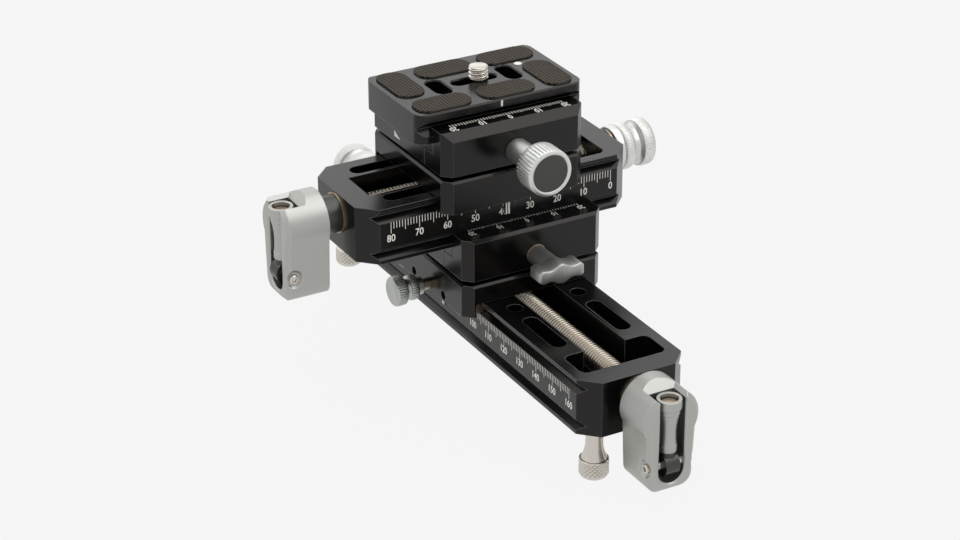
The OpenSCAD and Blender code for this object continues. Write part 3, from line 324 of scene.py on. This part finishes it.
def tab_paint(tab, letter):
    made = Finish(tab + "_paint")
    low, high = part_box(tab)
    across = (made.axis(letter) - low["XYZ".index(letter)]) / MM
    below = (high[2] - made.axis("Z")) / MM
    start, stop, again = LINE_EDGES
    lines = step(across - start) - step(across - stop) * step(again - across)
    black, white = (0.003, 0.003, 0.003), (0.70, 0.68, 0.62)
    colour = made.mix(lines * step(below - ARM_HEIGHT), black, white)
    wear = made.noise(2600)
    bump = {"Strength": 0.4, "Distance": 0.02 * MM, "Height": wear}
    return made.surface(colour, wear * 0.2 + 0.35, made.node("Bump", None, bump))


nodes["upper_index_tab"].material_slots[0].material = tab_paint("upper_index_tab", "X")
nodes["lower_index_tab"].material_slots[0].material = tab_paint("lower_index_tab", "Y")
print("index tabs painted: upper and lower")

# %% [markdown]
# ## Turned parts
# Knobs, feet and screws come off a lathe, so each starts as half an outline that
# is spun round an axis. A row of an outline is a radius and a station along the
# axis, in millimetres, and how many cuts divide the line that leads there. Where
# the real part is knurled, fluted or threaded, the pattern could be a bump, but
# then the part's outline would stay smooth. So the spun surface gets enough steps
# for it, and a small rule moves each vertex inwards by the depth of the pattern.

# %% Spin an outline, then cut a pattern into it
def spun(outline, steps, pattern=None):
    mesh = bmesh.new()
    last = None
    for radius, station, cuts in outline:
        spot = Vector((radius, 0, station)) * MM
        start = last.co.copy() if last else spot
        for part in range(1, cuts + 2):
            vert = mesh.verts.new(start.lerp(spot, part / (cuts + 1)))
            if last:
                mesh.edges.new((last, vert))
            last = vert
    bmesh.ops.spin(
        mesh, geom=mesh.verts[:] + mesh.edges[:], axis=(0, 0, 1), cent=(0, 0, 0),
        angle=2 * math.pi, steps=steps, use_merge=True)
    bmesh.ops.remove_doubles(mesh, verts=mesh.verts, dist=0.0005 * MM)
    for vert in mesh.verts if pattern else ():
        radius = math.hypot(vert.co.x, vert.co.y)
        if radius > 0.01 * MM:
            angle = math.atan2(vert.co.y, vert.co.x) % (2 * math.pi)
            cut = pattern(angle, radius / MM, vert.co.z / MM) * MM
            vert.co.x *= 1 - cut / radius
            vert.co.y *= 1 - cut / radius
    return mesh


def stand(mesh, start, towards):
    turn = Vector(towards).to_track_quat("Z", "Y").to_matrix().to_4x4()
    place = Matrix.Translation(start) @ turn
    bmesh.ops.transform(mesh, matrix=place, verts=mesh.verts)


print("lathe ready: an outline is spun, cut and stood on its axis")

# %% [markdown]
# ## Handing a shape over
# A modelled shape becomes a piece of the part once it has its finish and the body
# that it moves with. Its finish is the one named by its slot unless another is
# given. Where it takes the place of solids, they are named too, and hidden.

# %% Hand a modelled shape over as a piece
def piece(mesh, name, slot, body, replaces=(), crease=35, finish=None):
    bmesh.ops.recalc_face_normals(mesh, faces=mesh.faces)
    data = bpy.data.meshes.new(name)
    mesh.to_mesh(data)
    mesh.free()
    data.polygons.foreach_set("use_smooth", [True] * len(data.polygons))
    data.set_sharp_from_angle(angle=math.radians(crease))
    data.materials.append(finishes[finish or slot])
    made = bpy.data.objects.new(name, data)
    bpy.context.scene.collection.objects.link(made)
    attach(made, body)
    if replaces:
        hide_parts(*replaces)
    print(name, "faces:", len(data.polygons))
    return made


def middle(name):
    low, high = (Vector(corner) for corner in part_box(name))
    return low, high, (low + high) / 2


print("lower rail's middle:", [round(v / MM, 2) for v in middle("lower_rail")[2]])

# %% [markdown]
# ## Lead screws
# The two lead screws are rolled steel with a pitch of 1.25 mm. Rings that are
# stacked along the screw would look like a thread from afar, but a real thread is
# a helix, so its radius depends on the turn and on the distance along the screw
# together. Eight samples to a pitch show crest, flank and root, and a rounded
# root reads better at this size than a knife edge.

# %% Cut the lead screws
PITCH = 1.25
CREST, JOURNAL, DEPTH = 3.95, 3, 0.82


def thread(angle, radius, station):
    if radius < CREST - 0.05:
        return 0
    phase = (station / PITCH - angle / (2 * math.pi)) % 1
    flank = abs(phase - 0.5) * 2
    return DEPTH * (1 - min(1, max(0, flank * 1.8 - 0.45)))


def lead_screw(name, solid, along, body, full_from, full_to):
    low, high, centre = middle(solid)
    length = max(high - low) / MM
    rows = int((full_to - full_from) / PITCH * 8)
    outline = [
        (0, 0, 0), (2.6, 0, 0), (JOURNAL, 0.4, 0), (JOURNAL, full_from, 0),
        (CREST, full_from, 0), (CREST, full_to, rows), (JOURNAL, full_to, 0),
        (JOURNAL, length - 0.4, 0), (2.6, length, 0), (0, length, 0)]
    mesh = spun(outline, 24, thread)
    stand(mesh, centre - Vector(along) * length / 2 * MM, along)
    piece(mesh, name, "screw_steel", body, [solid], crease=50)


lead_screw("lower_screw_thread", "lower_lead_screw", (0, 1, 0), "lower_drive", 19.1, 180.9)
lead_screw("upper_screw_thread", "upper_lead_screw", (1, 0, 0), "upper_drive", 21.4, 103.2)

# %% [markdown]
# ## Knurled end knobs
# Each rail ends in a turned knob with two bands of fine straight knurling round a
# bright waist. The knurl's lines run along the axis about half a millimetre
# apart. Teeth could be cut one by one and repeated, but the spin already makes
# them: with four steps to a line, one step in four is sunk.

# %% Turn the end knobs
def straight_knurl(lines, steps, depth, zones):
    def pattern(angle, radius, station):
        inside = any(a < station < b and radius > r for a, b, r in zones)
        tooth = round(angle / (2 * math.pi) * lines * steps) % steps
        return depth if inside and tooth == 0 else 0

    return pattern


def end_knob(name, solid, along, body):
    centre = middle(solid)[2]
    outline = [
        (3, 1, 0), (3, 0, 0), (6.6, 0, 0), (7.3, 0.3, 0), (7.6, 1.0, 0), (7.6, 2.6, 0),
        (7.3, 2.9, 0), (7.45, 3.0, 0), (7.8, 3.3, 0), (8, 3.9, 0), (8, 5.6, 1),
        (7.8, 6.2, 0), (7.3, 6.55, 0), (6.5, 7.1, 0), (6.3, 7.7, 0), (6.3, 9.2, 1),
        (6.5, 9.5, 0), (7.2, 9.9, 0), (7.75, 10.2, 0), (8, 10.8, 0), (8, 13.2, 1),
        (7.8, 14.0, 0), (7.3, 14.5, 0), (6.6, 14.7, 0), (6.2, 14.55, 0), (0, 14.5, 0)]
    zones = [(3.05, 6.4, 7.4), (9.95, 14.3, 7.4)]
    mesh = spun(outline, 92 * 4, straight_knurl(92, 4, 0.24, zones))
    half_length = 7.35 * MM
    stand(mesh, centre - Vector(along) * half_length, along)
    piece(mesh, name, "silver_aluminium", body, [solid], 32, "turned_aluminium")


end_knob("lower_knurled_knob", "lower_end_knob", (0, 1, 0), "lower_drive")
end_knob("upper_knurled_knob", "upper_end_knob", (1, 0, 0), "upper_drive")

# %% [markdown]
# ## Lock knobs
# The small grey knob on each carriage has a plain hub and two ribbed bands. Its
# ribs are coarser than the end knobs' knurl, and its face is a flat disc inside
# a thin raised rim. It is spun as they are, but its grooves are as wide as two
# steps: of every seven steps on the small band, and of every six on the large
# one, two are sunk.

# %% Turn the lock knobs
LOCK_STEPS = 240


def ribs(angle, radius, station):
    turn = round(angle / (2 * math.pi) * LOCK_STEPS)
    if station < 6:
        return 0.26 * (2.4 < station < 4.7 and radius > 3.9 and turn % 7 in (0, 1))
    return 0.28 * (6.9 < station < 9.9 and radius > 4.7 and turn % 6 in (0, 1))


def lock_knob(name, solid, out, body):
    centre = middle(solid)[2]
    outline = [
        (2, 1, 0), (2, 0, 0), (2.8, 0, 0), (3, 0.2, 0), (3, 2.2, 0), (3.8, 2.2, 0),
        (4.1, 2.5, 0), (4.2, 2.9, 0), (4.2, 4.4, 1), (4.05, 4.8, 0), (3.7, 5.0, 0),
        (3.45, 5.4, 0), (3.4, 5.9, 0), (3.5, 6.4, 0), (3.9, 6.7, 0), (4.6, 6.75, 0),
        (4.9, 7.0, 0), (5, 7.5, 0), (5, 9.5, 1), (4.9, 10.0, 0), (4.6, 10.35, 0),
        (4.1, 10.5, 0), (3.9, 10.38, 0), (0, 10.38, 0)]
    mesh = spun(outline, LOCK_STEPS, ribs)
    half_length = 5.25 * MM
    stand(mesh, centre - Vector(out) * half_length, out)
    piece(mesh, name, "gunmetal", body, [solid], crease=32)


lock_knob("lower_lock_ribbed", "lower_lock_knob", (-1, 0, 0), "lower_lock")
lock_knob("upper_lock_ribbed", "upper_lock_knob", (0, 1, 0), "upper_lock")

# %% [markdown]
# ## The fluted clamp knob
# The top clamp is tightened by a round knob on a smooth neck. Its head has forty
# straight grooves between flat lands, a plain bevel at both rims and a recess
# that holds a grey disc. The knurl's rule cuts the grooves as well: six steps to
# a groove, one of them sunk by half a millimetre.

# %% Turn the fluted knob
def fluted_knob():
    high, centre = middle("round_knob")[1:]
    outline = [
        (2.5, 1, 0), (2.5, 0, 0), (3.8, 0, 0), (4, 0.2, 0), (4, 11.4, 4), (4.25, 12.2, 0),
        (4.9, 12.6, 0), (6.2, 12.7, 0), (6.9, 12.8, 0), (7.4, 13.1, 0), (7.7, 13.6, 0),
        (7.7, 20.2, 2), (7.5, 20.8, 0), (7.0, 21.15, 0), (6.5, 21.2, 0), (6.1, 21.0, 0),
        (6.05, 20.2, 0), (5.8, 20.2, 0), (0, 20.2, 0)]
    zones = [(13.5, 20.3, 7.6)]
    mesh = spun(outline, 40 * 6, straight_knurl(40, 6, 0.5, zones))
    stand(mesh, (centre.x, high.y, centre.z), (0, -1, 0))
    piece(
        mesh, "fluted_knob", "silver_aluminium", "top_knob", ["round_knob"], 32,
        "turned_aluminium")


fluted_knob()

# %% [markdown]
# ## Feet
# Four turned feet stand under the lower rail. Each flares from a narrow neck to a
# base with a diamond knurl, which is two sets of slanting grooves that cross. Two
# sine waves that lean opposite ways are zero along those grooves, so the rule
# sinks a vertex that is near a zero of either wave, the nearer the deeper. The
# four feet are one solid in model.glb, so the four shapes are joined to one.

# %% Turn the feet
def diamond_knurl(angle, radius, station):
    if not (1.7 < station < 6.3 and radius > 4.4):
        return 0
    left = math.sin(angle * 10 + station * 2.3)
    right = math.sin(angle * 10 - station * 2.3)
    return 0.34 * max(0, 1 - 2.2 * min(abs(left), abs(right)))


def join(whole, part):
    copy = bpy.data.meshes.new("copy")
    part.to_mesh(copy)
    whole.from_mesh(copy)
    part.free()
    bpy.data.meshes.remove(copy)


def feet():
    low, high = middle("feet")[:2]
    outline = [
        (0, 0, 0), (2.9, 0, 0), (3.6, 0.15, 0), (4.3, 0.7, 0), (4.7, 1.5, 0),
        (4.7, 6.3, 13), (4.5, 6.6, 0), (4.1, 6.7, 0), (3.6, 8.0, 0), (3.1, 9.4, 0),
        (2.85, 11.0, 0), (2.75, 13.2, 0), (2.75, 16, 1), (2, 16, 0), (2, 22, 0), (0, 22, 0)]
    radius = 4.7 * MM
    whole = bmesh.new()
    for x in (low.x + radius, high.x - radius):
        for y in (low.y + radius, high.y - radius):
            one = spun(outline, 160, diamond_knurl)
            stand(one, (x, y, low.z), (0, 0, 1))
            join(whole, one)
    piece(whole, "knurled_feet", "bright_steel", "base", ["feet"])


feet()

# %% [markdown]
# ## The wing knob
# The lower clamp is tightened by a T-shaped knob: a round shank and a waisted
# bar, tallest in its middle and narrow on both sides of it. A cube could be
# pushed into that shape vertex by vertex. Here cosines run from the middle to
# the waist and on to the end, so the outline has no kinks. It is filled as one
# face, thickened, and bevelled round its two rims.

# %% Model the wing knob
def wing_height(x):
    stops = [(0, 3.4), (4.3, 1.95), (7.0, 2.3), (8.0, 1.5)]
    for (a, low), (b, high) in zip(stops, stops[1:]):
        if x <= b:
            share = 0.5 - 0.5 * math.cos(math.pi * (x - a) / (b - a))
            return low + (high - low) * share
    return stops[-1][1]


def thicken(mesh, face, push):
    grown = bmesh.ops.extrude_face_region(mesh, geom=[face])["geom"]
    far = [part for part in grown if isinstance(part, bmesh.types.BMVert)]
    bmesh.ops.translate(mesh, verts=far, vec=push)


def wing_knob():
    low, high, centre = middle("wing_knob")
    mesh = bmesh.new()
    stations = [x * 0.5 for x in range(-16, 17)]
    top = [(x, wing_height(abs(x))) for x in stations]
    ring = top + [(x, -z) for x, z in reversed(top)]
    front = mesh.faces.new([mesh.verts.new((x * MM, 0, z * MM)) for x, z in ring])
    thicken(mesh, front, (0, 6.9 * MM, 0))
    rims = [e for e in mesh.edges if abs(e.verts[0].co.y - e.verts[1].co.y) < 1e-6]
    bmesh.ops.bevel(
        mesh, geom=rims, offset=0.6 * MM, segments=3, profile=0.5, affect="EDGES",
        material=-1, clamp_overlap=True)
    bmesh.ops.translate(mesh, verts=mesh.verts, vec=(centre.x, low.y, centre.z))
    shank = spun([
        (2.5, 1, 0), (2.5, 0, 0), (3.0, 0, 0), (3.2, 0.2, 0), (3.2, 10.4, 3),
        (0, 10.4, 0)], 64)
    stand(shank, (centre.x, high.y, centre.z), (0, -1, 0))
    join(mesh, shank)
    piece(mesh, "waisted_wing", "silver_aluminium", "lower_wing", ["wing_knob"], crease=40)


wing_knob()

# %% [markdown]
# ## The camera screw
# The quarter-inch screw in the plate has twenty threads to the inch, a rounded
# tip and a flat head whose underside is slotted for a coin. The screw is spun
# from the head up and threaded as the lead screws are. The slot could be cut out
# of the head, but it is simpler to leave it between two half-moons that hang
# under the head's disc. The names below are its radii and its pitch.

# %% Turn the camera screw
HEAD, NECK, SCREW = 5.2, 2.2, 3.175
QUARTER_PITCH = 25.4 / 20


def half_moon(mesh, radius, gap, deep, side):
    first = math.asin(gap / radius)
    turns = [first + (math.pi - 2 * first) * part / 32 for part in range(33)]
    spots = [(radius * math.cos(a), radius * side * math.sin(a)) for a in turns]
    face = mesh.faces.new([mesh.verts.new((x * MM, y * MM, 0)) for x, y in spots])
    thicken(mesh, face, (0, 0, deep * MM))


def camera_screw():
    low, high, centre = middle("camera_screw")
    length = (high.z - low.z) / MM
    bottom = length - 4.0

    def quarter_thread(angle, radius, station):
        if station < bottom + 0.2 or radius < 3.1:
            return 0
        phase = (station / QUARTER_PITCH - angle / (2 * math.pi)) % 1
        return 0.60 * (1 - min(1, max(0, abs(phase - 0.5) * 3.4 - 0.3)))

    mesh = spun([
        (0, 1, 0), (HEAD, 1, 0), (HEAD, 3, 0), (NECK, 3, 0), (NECK, bottom, 0),
        (SCREW, bottom, 0), (SCREW, length - 0.45, 28), (3.0, length - 0.2, 0),
        (2.6, length, 0), (0, length, 0)], 48, quarter_thread)
    for side in (-1, 1):
        half_moon(mesh, HEAD, 0.5, 1, side)
    bmesh.ops.translate(mesh, verts=mesh.verts, vec=(centre.x, centre.y, low.z))
    piece(mesh, "camera_thread", "bright_steel", "screw", ["camera_screw"], crease=45)


camera_screw()

# %% [markdown]
# ## Crank pivots
# Each folding handle turns on a small screw whose head sits deep in a cone. The
# screw is drawn thinner than the solid's head, so that the cone round it shows as
# a dark ring. Both its ends have a round socket, so half an outline is enough:
# the other half is the same one read backwards.

# %% Turn the pivots
def pivot(name, solid, along, body):
    low, high, centre = middle(solid)
    length = max(high - low) / MM
    half = [(0, 0.9, 0), (0.75, 0.7, 0), (0.85, 0, 0), (1.25, 0, 0), (1.5, 0.25, 0)]
    outline = half + [(r, length - station, cuts) for r, station, cuts in reversed(half)]
    mesh = spun(outline, 48)
    stand(mesh, centre - Vector(along) * length / 2 * MM, along)
    piece(mesh, name, "bright_steel", body, [solid])


pivot("lower_pivot_screw", "lower_crank_pivot", (1, 0, 0), "lower_drive")
pivot("upper_pivot_screw", "upper_crank_pivot", (0, 1, 0), "upper_drive")

# %% [markdown]
# ## Scales
# Both rails are engraved in millimetres and filled with white. A scale is drawn
# flat, with u along it and v up, from small bars and from digits in Blender's own
# typeface turned into meshes. An image would be quicker, but it blurs close up
# and has no edges of its own. One matrix then lays the scale on its face, a few
# hundredths of a millimetre proud so that it never fights the metal.

# %% Draw one number
TEXT_HALF, PROUD = 0.01, 0.015


def number(mesh, text, u, v, height, across=0.88, turned=False):
    curve = bpy.data.curves.new("digits", "FONT")
    curve.body, curve.align_x, curve.align_y = text, "CENTER", "CENTER"
    curve.size, curve.extrude, curve.resolution_u, curve.offset = 1.0, TEXT_HALF, 3, 0.016
    holder = bpy.data.objects.new("digits", curve)
    bpy.context.scene.collection.objects.link(holder)
    bpy.context.view_layer.update()
    data = bpy.data.meshes.new_from_object(holder)
    rise = [vert.co.y for vert in data.vertices]
    side = [vert.co.x for vert in data.vertices]
    size = height * MM / (max(rise) - min(rise))
    shift = Vector((-(max(side) + min(side)) / 2, -(max(rise) + min(rise)) / 2, 0))
    data.transform(Matrix.Translation(shift))
    size *= -1 if turned else 1
    flat = Matrix.Diagonal((size * across, size, PROUD * MM / TEXT_HALF, 1))
    data.transform(Matrix.Translation((u * MM, v * MM, 0)) @ flat)
    mesh.from_mesh(data)
    bpy.data.objects.remove(holder)
    bpy.data.curves.remove(curve)
    bpy.data.meshes.remove(data)


print("digits reach", PROUD, "mm to each side of their plane")

# %% Draw one tick, and lay a drawing on its face
RAIL_TICK = 0.21


def tick(mesh, u, top, low, width=RAIL_TICK):
    size = Matrix.Diagonal((width * MM, (top - low) * MM, 2 * PROUD * MM, 1))
    place = Matrix.Translation((u * MM, (top + low) / 2 * MM, 0))
    bmesh.ops.create_cube(mesh, size=1, matrix=place @ size)


def lay(mesh, origin, right, up):
    right, up = Vector(right).normalized(), Vector(up).normalized()
    out = right.cross(up)
    turn = Matrix((right, up, out)).transposed().to_4x4()
    spot = Vector(origin) * MM + out * 0.012 * MM
    bmesh.ops.transform(mesh, matrix=Matrix.Translation(spot) @ turn, verts=mesh.verts)


print("a rail's ticks are", RAIL_TICK, "mm wide")

# %% Engrave both rails
LINE_TOP, ROW = -4.98, -10.4
TEN_LOW, FIVE_LOW, ONE_LOW = -8.8, -8.4, -7.3


def rail_scale(last, zero, along):
    mesh = bmesh.new()
    for mark in range(last + 1):
        u = zero + along * mark
        low = TEN_LOW if mark % 10 == 0 else FIVE_LOW if mark % 5 == 0 else ONE_LOW
        tick(mesh, u, LINE_TOP, low)
        if mark % 10 == 0:
            number(mesh, str(mark), u, ROW, 2.5)
    return mesh


upper_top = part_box("upper_rail")[1][2] / MM
upper_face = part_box("upper_rail")[0][1] / MM
scale = rail_scale(80, 33.0, -1)
lay(scale, (0, upper_face, upper_top), (1, 0, 0), (0, 0, 1))
piece(scale, "upper_scale", "white_mark", "upper_base")

lower_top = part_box("lower_rail")[1][2] / MM
lower_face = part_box("lower_rail")[0][0] / MM
scale = rail_scale(160, -81.0, 1)
lay(scale, (lower_face, 0, lower_top), (0, -1, 0), (0, 0, 1))
piece(scale, "lower_scale", "white_mark", "base")

# %% [markdown]
# ### The clamps' scales
# Each clamp jaw has a short scale on its top, from 20 through 0 to 20, read from
# behind the rail. So its digits are turned by half a turn: the number's size is
# taken negative, which flips it both ways at once and keeps its faces outwards.

# %% Engrave both clamp jaws
def jaw_scale(comb, short, row, size):
    mesh = bmesh.new()
    for mark in range(-20, 21):
        extra = 0.6 if mark % 10 == 0 else 0.35 if mark % 5 == 0 else 0
        tick(mesh, mark, comb, comb - short - extra, 0.28)
        if mark % 10 == 0:
            number(mesh, str(abs(mark)), mark, row, size, 0.72, turned=True)
    return mesh


top_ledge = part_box("top_clamp_jaw")[1][2] / MM
scale = jaw_scale(-16.6, 1.6, -20.0, 2.7)
lay(scale, (-5.8, 0, top_ledge), (1, 0, 0), (0, 1, 0))
piece(scale, "top_jaw_scale", "white_mark", "top_jaw")

lower_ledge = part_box("lower_clamp_jaw")[1][2] / MM
scale = jaw_scale(-17.7, 0.8, -20.6, 2.4)
lay(scale, (0.1, 0, lower_ledge), (1, 0, 0), (0, 1, 0))
piece(scale, "lower_jaw_scale", "white_mark", "lower_jaw")

# %% [markdown]
# ## Painted index marks
# A white dot on the plate, a short line on its front lip and a small white
# triangle on the clamp's side are the marks that a user lines up by eye. Painted
# into the finish, each would need a mask of its own. As a piece, each is only an
# outline, filled as one face, thickened a little and laid on like a scale.

# %% Paint the index marks
def flat_mark(name, outline, origin, right, up, body):
    mesh = bmesh.new()
    face = mesh.faces.new([mesh.verts.new((u * MM, v * MM, 0)) for u, v in outline])
    thicken(mesh, face, (0, 0, 2 * PROUD * MM))
    lay(mesh, origin, right, up)
    piece(mesh, name, "white_mark", body)


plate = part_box("quick_release_plate")
lip, roof = plate[0][1] / MM, plate[1][2] / MM
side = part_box("top_clamp_base")[0][0] / MM
turns = [part / 12 * math.pi for part in range(24)]
dot = [(1.3 * math.cos(turn), 1.3 * math.sin(turn)) for turn in turns]
line = [(-0.35, -1.0), (0.35, -1.0), (0.35, 1.0), (-0.35, 1.0)]
triangle = [(-2.2, 1.2), (-2.0, -0.9), (2.3, -0.9)]
flat_mark("plate_dot", dot, (12.1, 6.6, roof), (1, 0, 0), (0, 1, 0), "plate")
flat_mark("plate_index", line, (-6.8, lip, 81.9), (1, 0, 0), (0, 0, 1), "plate")
flat_mark("clamp_index", triangle, (side, 7.6, 67.0), (0, -1, 0), (0, 0, 1), "upper_slide")

# %% [markdown]
# ## Floor and light
# The rail stands on plain pale paper under large soft lights. The paper is nearly
# black with an even white glow, so it stays one flat pale tone with hardly a
# shadow, as in a catalogue picture. Black anodising shows almost nothing of its
# own colour: what is seen is the pale room mirrored at a shallow angle, so the
# room's brightness on each side matters more than the lamps themselves. The
# lamps shape the silver parts and the bevels.

# %% Lay the floor
FLOOR_HALF = 4.0
UNDER_FEET = 0.02 * MM

ground = bmesh.new()
bmesh.ops.create_grid(ground, x_segments=2, y_segments=2, size=FLOOR_HALF)
bmesh.ops.translate(ground, verts=ground.verts, vec=(0, 0, cad_low[2] - UNDER_FEET))
floor_data = bpy.data.meshes.new("floor")
ground.to_mesh(floor_data)
ground.free()
floor = bpy.data.objects.new("floor", floor_data)
bpy.context.scene.collection.objects.link(floor)
paper = Finish("floor_paper")
fibre = paper.noise(30, 4)
paper_colour = paper.mix(fibre, (0.010, 0.010, 0.010), (0.012, 0.012, 0.012))
relief = {"Strength": 0.05, "Distance": 0.1 * MM, "Height": fibre}
paper_bump = paper.node("Bump", None, relief)
glow = {
    "Emission Color": (1, 1, 1, 1), "Emission Strength": 0.90, "Specular IOR Level": 0.0}
floor_data.materials.append(paper.surface(paper_colour, 0.9, paper_bump, **glow))
width, height = floor.dimensions.x, floor_data.vertices[0].co.z
print("floor:", round(width, 2), "m wide, at Z", round(height / MM, 2), "mm")

# %% Light the room
world = bpy.data.worlds.new("studio")
bpy.context.scene.world = world
world.use_nodes = True
world.node_tree.nodes["Background"].inputs["Color"].default_value = (1, 1, 1, 1)
world.node_tree.nodes["Background"].inputs["Strength"].default_value = 0.9


def softbox(name, place, aim, size, power):
    lamp = bpy.data.lights.new(name, "AREA")
    lamp.shape, lamp.size, lamp.size_y, lamp.energy = "RECTANGLE", *size, power
    holder = bpy.data.objects.new(name, lamp)
    bpy.context.scene.collection.objects.link(holder)
    holder.location = place
    look = Vector(aim) - Vector(place)
    holder.rotation_mode = "QUATERNION"
    holder.rotation_quaternion = look.to_track_quat("-Z", "Y")


softbox("overhead", (0.05, 0.15, 1.1), (0, 0, 0), (1.1, 0.9), 4.2)
softbox("front_key", (0.48, -0.50, 0.90), (0, 0, 0.06), (0.7, 0.7), 2.6)
softbox("left_side", (-1.1, 0.25, 0.55), (0, 0, 0.02), (0.8, 0.8), 1.0)
softbox("behind", (0.05, 1.15, 0.62), (0, 0, 0.05), (1.8, 0.9), 3.0)
bpy.context.scene.view_settings.view_transform = "Standard"
bpy.context.scene.view_settings.look = "None"

# %% [markdown]
# ## Camera
# The camera stands to the left of the lower rail's front end and looks down by
# about 27 degrees through a long lens, as a product photograph is taken. Its
# place and turn were fitted to straight edges of the rails. The lens was fitted
# in pixels too, so its focal length is turned into millimetres of the sensor.

# %% Place the camera
FOCAL_PIXELS, FRAME_PIXELS, SENSOR = 2629.024, 960, 36
DISTANCE, TO_LEFT, DOWN = 848.776, 3.833, 36.753

azimuth, elevation, roll = (math.radians(a) for a in (29.036, 26.700, -0.148))
back = Vector((
    -math.sin(azimuth) * math.cos(elevation),
    -math.cos(azimuth) * math.cos(elevation), math.sin(elevation)))
flat_right = Vector((math.cos(azimuth), -math.sin(azimuth), 0))
flat_up = back.cross(flat_right)
right = flat_right * math.cos(roll) + flat_up * math.sin(roll)
up = flat_up * math.cos(roll) - flat_right * math.sin(roll)
aim = Vector((-0.58, 1.10, 55.55)) * MM
spot = aim + back * DISTANCE * MM - right * TO_LEFT * MM - up * DOWN * MM
lens = bpy.data.cameras.new("camera")
lens.sensor_width = SENSOR
lens.lens = FOCAL_PIXELS / FRAME_PIXELS * SENSOR
camera = bpy.data.objects.new("camera", lens)
bpy.context.scene.collection.objects.link(camera)
axes = Matrix((right, up, back)).transposed().to_4x4()
camera.matrix_world = Matrix.Translation(spot) @ axes
bpy.context.scene.camera = camera
print("camera at", [round(v, 4) for v in spot])
